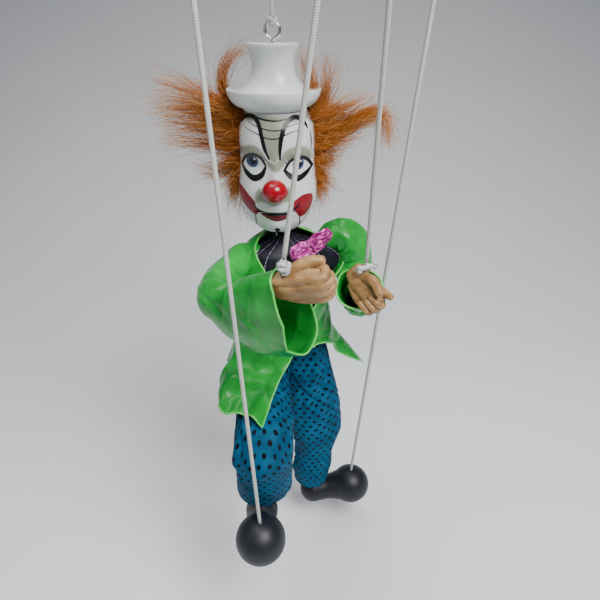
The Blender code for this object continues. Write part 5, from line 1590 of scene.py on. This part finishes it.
@dataclass
class Leg(Limb):
    """A trouser leg in two lengths and a turned shoe."""

    hip: Array
    knee: Array
    ankle: Array
    heel: Array
    foot_ahead: Array
    hem_lift: float
    sway: float
    halves: tuple[Pair, ...]
    seed: int

    def build(self, palette: Palette) -> None:
        """Make the trouser leg and the shoe."""
        hem = self.ankle + unit(self.knee - self.ankle) * (self.hem_lift * MM)
        low = self.knee - UP * (4 * MM)
        aside = np.array((self.sway * MM, 0.0, 0.0))
        places = (trunk_at(self.side.sign * 15.5, 0.0, 201.0), self.hip - UP * (6 * MM), low + aside,
                  *(low + (hem - low) * share + aside * (1 - 0.25 * share) for share in (0.4, 0.7, 1.0)))
        stops = [Stop(p, *h, i in (1, 2)) for i, (p, h) in enumerate(zip(places, self.halves))]
        creases = (Creases(self.seed, 60, 11, 1.7, 0.8, 0.4, 0.9),
                   Creases(self.seed + 1, 26, 34, 2.8, 2.2, 1.45, 0.3))
        tube = ClothTube(stops, LEFTWARD, 9.0, 190, 120, creases)
        self.clothe(TROUSERS, tube, (self.hip, self.knee, self.ankle), palette.blue, palette.blue)
        self.build_shoe(palette)

    def build_shoe(self, palette: Palette) -> None:
        """A turned shoe: a toe ball, a waist and a heel ball on one axis."""
        toe, waist, back, span = 17.8, 11.5, 12.5, TOE_REACH
        arc = np.radians(np.linspace(90, -38, 40))
        ball = np.stack([toe * np.cos(arc), span + toe * np.sin(arc)], axis=-1)
        arc = np.radians(np.linspace(14, -90, 30))
        heel = np.stack([back * np.cos(arc), back * np.sin(arc)], axis=-1)
        q = np.linspace(0, 1, 24)[1:-1]
        ends = np.array((ball[-1], (waist + 0.6, span * 0.5), (waist, span * 0.34), heel[0]))
        neck = through((0, 0.45, 0.75, 1), ends, q)
        profile = np.concatenate([ball, neck, heel]) * MM
        shoe = closed_mesh(f"shoe_turned_{self.side.value}",
                           lathe_grid(profile, self.heel, self.foot_ahead, UP, 96))
        dress(shoe, palette.shoe, f"shoe_{self.side.value}", [f"shoe_{self.side.value}"])


@dataclass
class Jacket:
    """The open jacket: cloth round the back, with flaring tails, the right one laid over the raised thigh.

    The rows are (drop, half width, half depth) in millimetres, and the edges (drop, degrees from the back).
    """

    rows: tuple[Triple, ...] = (
        (115.5, 11, 11), (119, 18, 13.5), (123.5, 25, 17), (130.6, 31, 20.5), (138, 32.5, 22),
        (152, 33, 24),
        (170, 33.5, 26), (186, 35, 27.5), (198, 38, 29))
    right_edge: tuple[Pair, ...] = (
        (115.5, -80), (119, -98), (123, -115), (128, -129), (134, -140), (152, -147), (170, -157),
        (185, -168), (198, -174))
    left_edge: tuple[Pair, ...] = (
        (115.5, 85), (119, 86), (123, 85), (130, 91), (136, 102), (142, 112), (155, 128), (165, 146),
        (172, 157), (198, 165))
    thigh_hem: tuple[Triple, ...] = (
        (-39, -14, -225), (-42, -42, -225), (-39, -62, -224), (-24, -66, -226), (-9, -80, -225))
    columns: int = 300
    body_rows: int = 110
    tail_rows: int = 80

    body_length: float = 84.0
    tail_length: float = 40.0
    mm_per_degree: float = 0.55

    def skin(self) -> Grid:
        """Ovals from neck to waist, the left front held out, with the tails below.

        Returns:
            The grid of points and its surface coordinates in millimetres.
        """
        table = np.array(self.rows)
        drop = np.linspace(table[0, 0], table[-1, 0], self.body_rows)
        width, depth = (half[:, None] for half in through(table[:, 0], table[:, 1:], drop).T)
        edges = (self.right_edge, self.left_edge)
        first, last = (through(*np.array(edge).T, drop)[:, None] for edge in edges)
        turn = np.radians(first + (last - first) * np.linspace(0, 1, self.columns))
        held = bell(drop - 138, 16)[:, None] * ease(np.degrees(turn), 68, 122)
        body = trunk_at(width * np.sin(turn) + 14 * held, -depth * np.cos(turn) + 2.5 * held, drop[:, None])
        share = np.arange(1, self.tail_rows + 1) / self.tail_rows
        points = np.concatenate([body, self.tails(body[-1], turn[-1], share[:, None, None])])
        above, below = np.linspace(0, self.body_length, self.body_rows), self.tail_length * share
        length = np.concatenate([above, self.body_length + below])
        u, v = np.meshgrid(np.degrees(turn[-1]) * self.mm_per_degree, length)
        relief = (Creases(5, 60, 12, 1.8, 0.6, 1.2, 0.9).relief(u, v)
                  + Creases(6, 26, 24, 4, 1.4, 1.2, 0.6).relief(u, v))
        points = points - skin_normals(points, False) * (relief * ease(v, 0, 12) * MM)[..., None]
        return points, np.stack([u, v], axis=-1)

    def tails(self, waist: Array, angle: Array, share: Array) -> Array:
        """Tails that fall and flare behind and at the left, and lie on the thigh at the right.

        Args:
            waist: The row of points at the waist.
            angle: The turn of each of them round from the back, in radians.
            share: Each row's share of the tails' length.

        Returns:
            The rows of points below the waist.
        """
        degrees = np.degrees(angle)
        outward = unit(waist - trunk_at(0.0, 0.0, self.rows[-1][0]))
        over = ease(-degrees, 78, 104)[:, None]
        front = ease(degrees, 96, 150)[:, None]
        tip = bell(degrees - 96, 14)[:, None]
        fold = 2.2 * np.sin(11 * angle)[:, None] * share * (1 - over)
        flare = (9 * (1 - over) * (1 - 0.6 * front) + 20 * tip) * share
        hung = waist + (outward * (flare + fold) - UP * ((31 * (1 - front) + 11 * tip) * share)) * MM
        return hung * (1 - over) + self.laid(waist, degrees, share) * over

    def laid(self, waist: Array, degrees: Array, share: Array) -> Array:
        """The tail from the waist to its hem round the thigh, kept above the thigh, rippled and puffed."""
        start = 80
        round_thigh = np.clip((-degrees - start) / (-self.right_edge[-1][1] - start), 0, 1)
        knots = np.linspace(0, 1, len(self.thigh_hem))
        hem = HAT_TOP + through(knots, np.array(self.thigh_hem), round_thigh) * MM
        aside = -8 * bell(round_thigh - 0.33, 0.3)[:, None] - 3.5 * ease(round_thigh, 0.8, 1.0)[:, None]
        ways = np.concatenate([share ** 1.25, share ** 1.25, share ** 0.5], axis=-1)
        laid = waist + (hem - waist) * ways + np.array((1.0, 0, 0)) * np.sin(math.pi * share) * aside * MM
        ripple = 1.3 * np.sin(30 * round_thigh)[:, None] * share ** 1.5
        laid[..., 2] = np.maximum(laid[..., 2], self.thigh_top(laid)) + ripple[..., 0] * MM
        puff = 4.5 * bell(share - 0.45, 0.14) * ease(round_thigh, 0.1, 0.4)[:, None]
        return laid + (AHEAD * 0.5 + UP * 0.85) * puff * MM

    def thigh_top(self, places: Array) -> Array:
        """The height of cloth on the raised thigh: the upper side of an oval tube from hip to knee."""
        hip_x, hip_y, hip_z, reach, fall, high = -12.9, -5.2, -236, 72.2, 8.5, 23.0
        x, y, _ = np.moveaxis((places - HAT_TOP) / MM, -1, 0)
        share = np.clip((hip_y - y) / reach, 0, 1)
        side = (x - hip_x) / (19.5 + 3.5 * share)
        return HAT_TOP[2] + (high * np.sqrt(np.clip(1 - side * side, 0, 1)) + hip_z - fall * share) * MM

    def build(self, palette: Palette) -> None:
        """Make the jacket and its rolled hem."""
        points, uv = self.skin()
        jacket = add_wall(grid_mesh("jacket_cloth", points, uv))
        dress(jacket, palette.green, None, ["jacket"])
        edge = np.concatenate([points[:, 0], points[-1, 1:], points[::-1, -1][1:], points[0, ::-1][1:]])
        hem = closed_mesh("jacket_hem", tube_grid(edge, HEM_RADIUS, 8, np.array((0.3, 0.2, 0.9))))
        # The rolled hem takes the paler green satin: painted highlight along the jacket's edges.
        dress(hem, palette.hem, None)
        for piece in (jacket, hem):
            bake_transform(piece)


@dataclass
class TrunkClothes:
    """The shirt, the bow tie and the seat of the trousers."""

    def build(self, palette: Palette) -> None:
        """Make the three pieces."""
        self.build_shirt(palette)
        self.build_bow(palette)
        self.build_seat(palette)

    def ring(self, drop: Array, width: Array, depth: Array, power: float) -> Array:
        """Rounded rings about the trunk's axis: |x/a|^p + |y/b|^p = 1."""
        turn = turns(160)
        c, s = (np.sign(k) * np.abs(k) ** (2 / power) for k in (np.cos(turn), np.sin(turn)))
        return trunk_at(width[:, None] * c, depth[:, None] * s, drop[:, None])

    def band(self, name: str, points: Array, drop: Array, girth: float, creases: Creases) -> Piece:
        """A closed band of creased cloth over rings of points."""
        u, v = np.meshgrid(np.linspace(0, girth, points.shape[1] + 1), drop)
        relief = creases.relief(u[:, :-1], v[:, :-1], girth)
        points = points + skin_normals(points, True) * (relief * MM)[..., None]
        return add_wall(grid_mesh(name, points, np.stack([u, v], axis=-1), wrap=True))

    def build_shirt(self, palette: Palette) -> None:
        """The shirt: a close skin from the neck to the waist, full at the left of the chest."""
        table = np.array(((117.5, 3.2, 3.2), (119, 6, 6), (121.5, 11, 9.5), (125, 19, 13.5), (129, 26, 16.5),
                          (135, 30, 17.4), (146, 30.5, 17.4), (160, 28, 17.2), (175, 25, 16.6),
                          (186, 23, 15.6), (200, 23, 15.4)))
        drop = np.linspace(table[0, 0], table[-1, 0], 120)
        points = self.ring(drop, *through(table[:, 0], table[:, 1:], drop).T, 2.3)
        beside, ahead = ((points - trunk_at(0.0, 0.0, 0.0)) @ way / MM for way in (LEFTWARD, AHEAD))
        bulge = 13.5 * bell(drop - 139, 15)[:, None] * ease(beside, 8, 30) * ease(ahead, 1, 11)
        points = points + LEFTWARD * (bulge * MM)[..., None]
        shirt = self.band("shirt_cloth", points, drop, 136, Creases(9, 60, 10, 2.4, 0.35, 0.3, 0.9))
        dress(shirt, palette.shirt, Body.TRUNK, ["shirt"])

    def build_bow(self, palette: Palette) -> None:
        """A crushed bow: a closed section swept sideways, pinched in the middle, with pleats that fan out."""
        tilt = math.radians(33)
        across = LEFTWARD * math.cos(tilt) + UP * math.sin(tilt)
        upright = UP * math.cos(tilt) - LEFTWARD * math.sin(tilt)
        centre = trunk_at(12.5, 24.3, 120.5)
        s = np.linspace(-1, 1, 121)
        size = np.abs(s)
        end = np.sqrt(np.clip(1 - np.maximum(0, (size - 0.78) / 0.22) ** 2, 0, 1))
        ragged = 1 + 0.07 * np.sin(7 * s) + 0.05 * np.sin(17 * s + 1)
        tapered = 1 - 0.45 * ease(s, 0.3, 1)
        high = (5.9 + 0.9 * bell(s + 0.5, 0.35) - 1.3 * bell(s, 0.15)) * tapered * end * ragged
        deep = (3.0 - 0.8 * bell(s, 0.15)) * end
        turn = turns(96)
        pleat = 1 + 0.34 * np.sin(9 * turn + 4 * s[:, None]) * ease(size, 0.0, 0.3)[:, None]
        wave = 1.0 * np.sin(4 * s)[:, None] * np.sin(turn)
        points = (centre + across * (16.0 * s * MM)[:, None, None]
                  + upright * (high[:, None] * np.sin(turn) * MM)[..., None]
                  + AHEAD * ((deep[:, None] * np.cos(turn) * pleat + wave * size[:, None]) * MM)[..., None])
        ridge = (0.9 * np.sin(7 * turn + 1.1 * np.sin(2.5 * s[:, None]))
                 + 0.4 * np.sin(13 * turn - 2 * s[:, None]))
        points = points + skin_normals(points, True) * (ridge * end[:, None] * MM)[..., None]
        t = turns(48)[:, None]
        ring = centre + (upright * np.sin(t) * 3.4 + AHEAD * np.cos(t) * 2.6) * MM
        knot = tube_grid(np.concatenate([ring, ring[:1]]), 1.2 * MM, 16, across)
        band = evenly(np.stack([centre, trunk_at(8.0, 17.5, 131.0)]), 12)
        bow = closed_mesh("bow_crushed", (points, uv_grid(np.linspace(0, 1, 97), s)), knot,
                          tube_grid(band, 2.3 * MM, 16, across))
        dress(bow, palette.bow, Body.TRUNK, ["bow_tie"])

    def build_seat(self, palette: Palette) -> None:
        """The trouser seat: a band from the waist, cut higher in front."""
        table = np.array(((196, 25, 16.2), (199, 30, 17.6), (203, 31.5, 18), (212, 31, 17), (220.2, 30, 16)))
        drop = np.linspace(table[0, 0], table[-1, 0], 50)
        points = self.ring(drop, *through(table[:, 0], table[:, 1:], drop).T, 2.6)
        ahead = (points - trunk_at(0.0, 0.0, 0.0)) @ AHEAD / MM
        lift = 6.2 * ease(ahead, 2, 14) * ease(drop, 205, 220)[:, None]
        points = points + UP * (lift * MM)[..., None]
        seat = self.band("trouser_seat_cloth", points, drop, 28 * SPOT_PITCH,
                         Creases(15, 40, 9, 2.6, 0.6, 1.3, 0.5))
        dress(seat, palette.blue, Body.TRUNK, ["trouser_seat"])


def dress_frame(palette: Palette) -> None:
    """Give the frame's own wood, leather, rubber and steel nodes their finishes."""
    finishes = {
        palette.bar: ["control_main_bar", "control_leg_bar", "control_hand_bar"],
        palette.wire: ["control_leg_screw", "control_hand_screw", "jaw_pin"],
        palette.rubber: ["jaw_elastic"],
        palette.limb: ["chest_block", "hip_block", "waist_dowel"] + [
            f"{rod}_{side.value}" for side in Side for rod in ("upper_arm", "forearm", "thigh", "shin")],
        palette.leather: [f"{joint}_thong_{side.value}" for side in Side
                          for joint in ("shoulder", "elbow", "hip", "knee", "ankle")]}
    for material, names in finishes.items():
        for name in names:
            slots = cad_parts[name].data.materials
            slots.clear()
            slots.append(material)


def string_set() -> list[LimbString]:
    """The four limb strings, each on a body of its own name."""
    table = (("hand_string_right", at(8, -99, -93), 119, -10.6, True, False),
             ("hand_string_left", at(58.5, -36, -124), 119, 10.6, True, True),
             ("foot_string_right", at(-12, -98, -294.2), 79, -60, False, False),
             ("foot_string_left", at(65, 14, -366.2), 79, 60, False, False))
    return [LimbString(name, name, *rest) for name, *rest in table]


def eye_set() -> list[WireEye]:
    """The eyes of the control and of the neck."""
    return [WireEye("control_head_eye", Body.TRUNK.value, at(0, 0, CONTROL_HEIGHT), -UP, AHEAD),
            WireEye("head_neck_eye", Body.HEAD.value, at(0, 0, -113), -UP, (0, 1, 0)),
            WireEye("chest_neck_eye", Body.TRUNK.value, at(0, 0, -127.3), UP, (1, 0, 0))]


def arm_set() -> list[Arm]:
    """Both arms."""
    right = (Stop(trunk_at(-18.0, 0.0, 130.5), 7, 8), Stop(trunk_at(-29.5, 1.0, 131.5), 8.5, 9),
             Stop(at(-35, -37, -137), 11.8, 11), Stop(at(-35.5, -61, -136), 13.2, 11.5, True),
             Stop(at(-21, -71, -141.5), 20.5, 12.5), Stop(at(-8.5, -80, -139.5), 25.5, 13),
             Stop(at(15, -95.5, -125), 26, 13))
    left = (Stop(trunk_at(30.0, -1.0, 129), 7, 8), Stop(trunk_at(38.0, -1.0, 126.5), 11, 10.5),
            Stop(trunk_at(46, 0.0, 127), 14, 12.5), Stop(trunk_at(51.5, 0.5, 133), 15, 13),
            Stop(trunk_at(54, 1.5, 143.5), 14.5, 13), Stop(at(60, 4.7, -177.3), 11, 11, True),
            Stop(at(60, -15, -160.5), 11.5, 11), Stop(at(55.5, -33, -145), 15.5, 13.5))
    return [Arm(Side.RIGHT, trunk_at(-39.0, 0.0, 131.0), at(-35.7, -66.8, -138.2), at(5, -95, -108),
                np.array((0.92, -0.3, 0.24)), np.array((0.2, -0.4, 0.88)), at(8, -99, -93), right,
                (2.5, 0.0, -4.0), (-1, -1, 3, 16, 10, 4, 1, 0, -1), 101),
            Arm(Side.LEFT, trunk_at(39.0, 0.0, 131.0), at(61.1, 5.7, -181.3), at(60, -35, -140),
                np.array((0.55, -0.69, -0.47)), np.array((0.5, 0.1, 0.85)), at(58.5, -36, -124), left,
                (-7.0, 5.5, 1.3), (0, 0), 131)]


def leg_set() -> list[Leg]:
    """Both legs."""
    right, left = unit(np.array((0.05, -0.94, 0.342))), unit(np.array((0.985, 0.03, 0.16)))
    return [Leg(Side.RIGHT, trunk_at(-18.0, 0.0, 230.0), at(-13.1, -77.4, -240.5), at(-14.2, -57.4, -307.6),
                at(-12, -98, -312) - right * (TOE_REACH * MM), right, 8.0, 4.5,
                ((15.5, 16.5), (19.5, 17.5), (20.5, 17.5), (20, 16.5), (20.5, 16.5), (20.5, 16)), 201),
            Leg(Side.LEFT, trunk_at(18.0, 0.0, 230.0), at(30.4, 10.4, -302.3), at(25.9, 12.8, -372.1),
                at(65, 14, -384) - left * (TOE_REACH * MM), left, 2.0, 0.0,
                ((15.5, 16.5), (20, 18.5), (22.5, 19), (17, 16.5), (18, 17), (15, 15)), 231)]


def main() -> None:
    """Build the studio, then every piece of the puppet from the strings down."""
    logging.basicConfig(level=logging.INFO, format="%(name)s: %(message)s")
    Studio().build()
    palette = Palette()
    for cord in string_set():
        cord.build(palette)
    HeadString("head_string", Body.TRUNK.value).build(palette)
    for eye in eye_set():
        eye.build(palette)
    Hat().build(palette)
    Head().build(palette)
    for tuft in HAIR:
        tuft.build(palette)
    TrunkClothes().build(palette)
    Jacket().build(palette)
    for arm in arm_set():
        arm.build(palette)
    for leg in leg_set():
        leg.build(palette)
    dress_frame(palette)


if __name__ == "__main__":
    main()
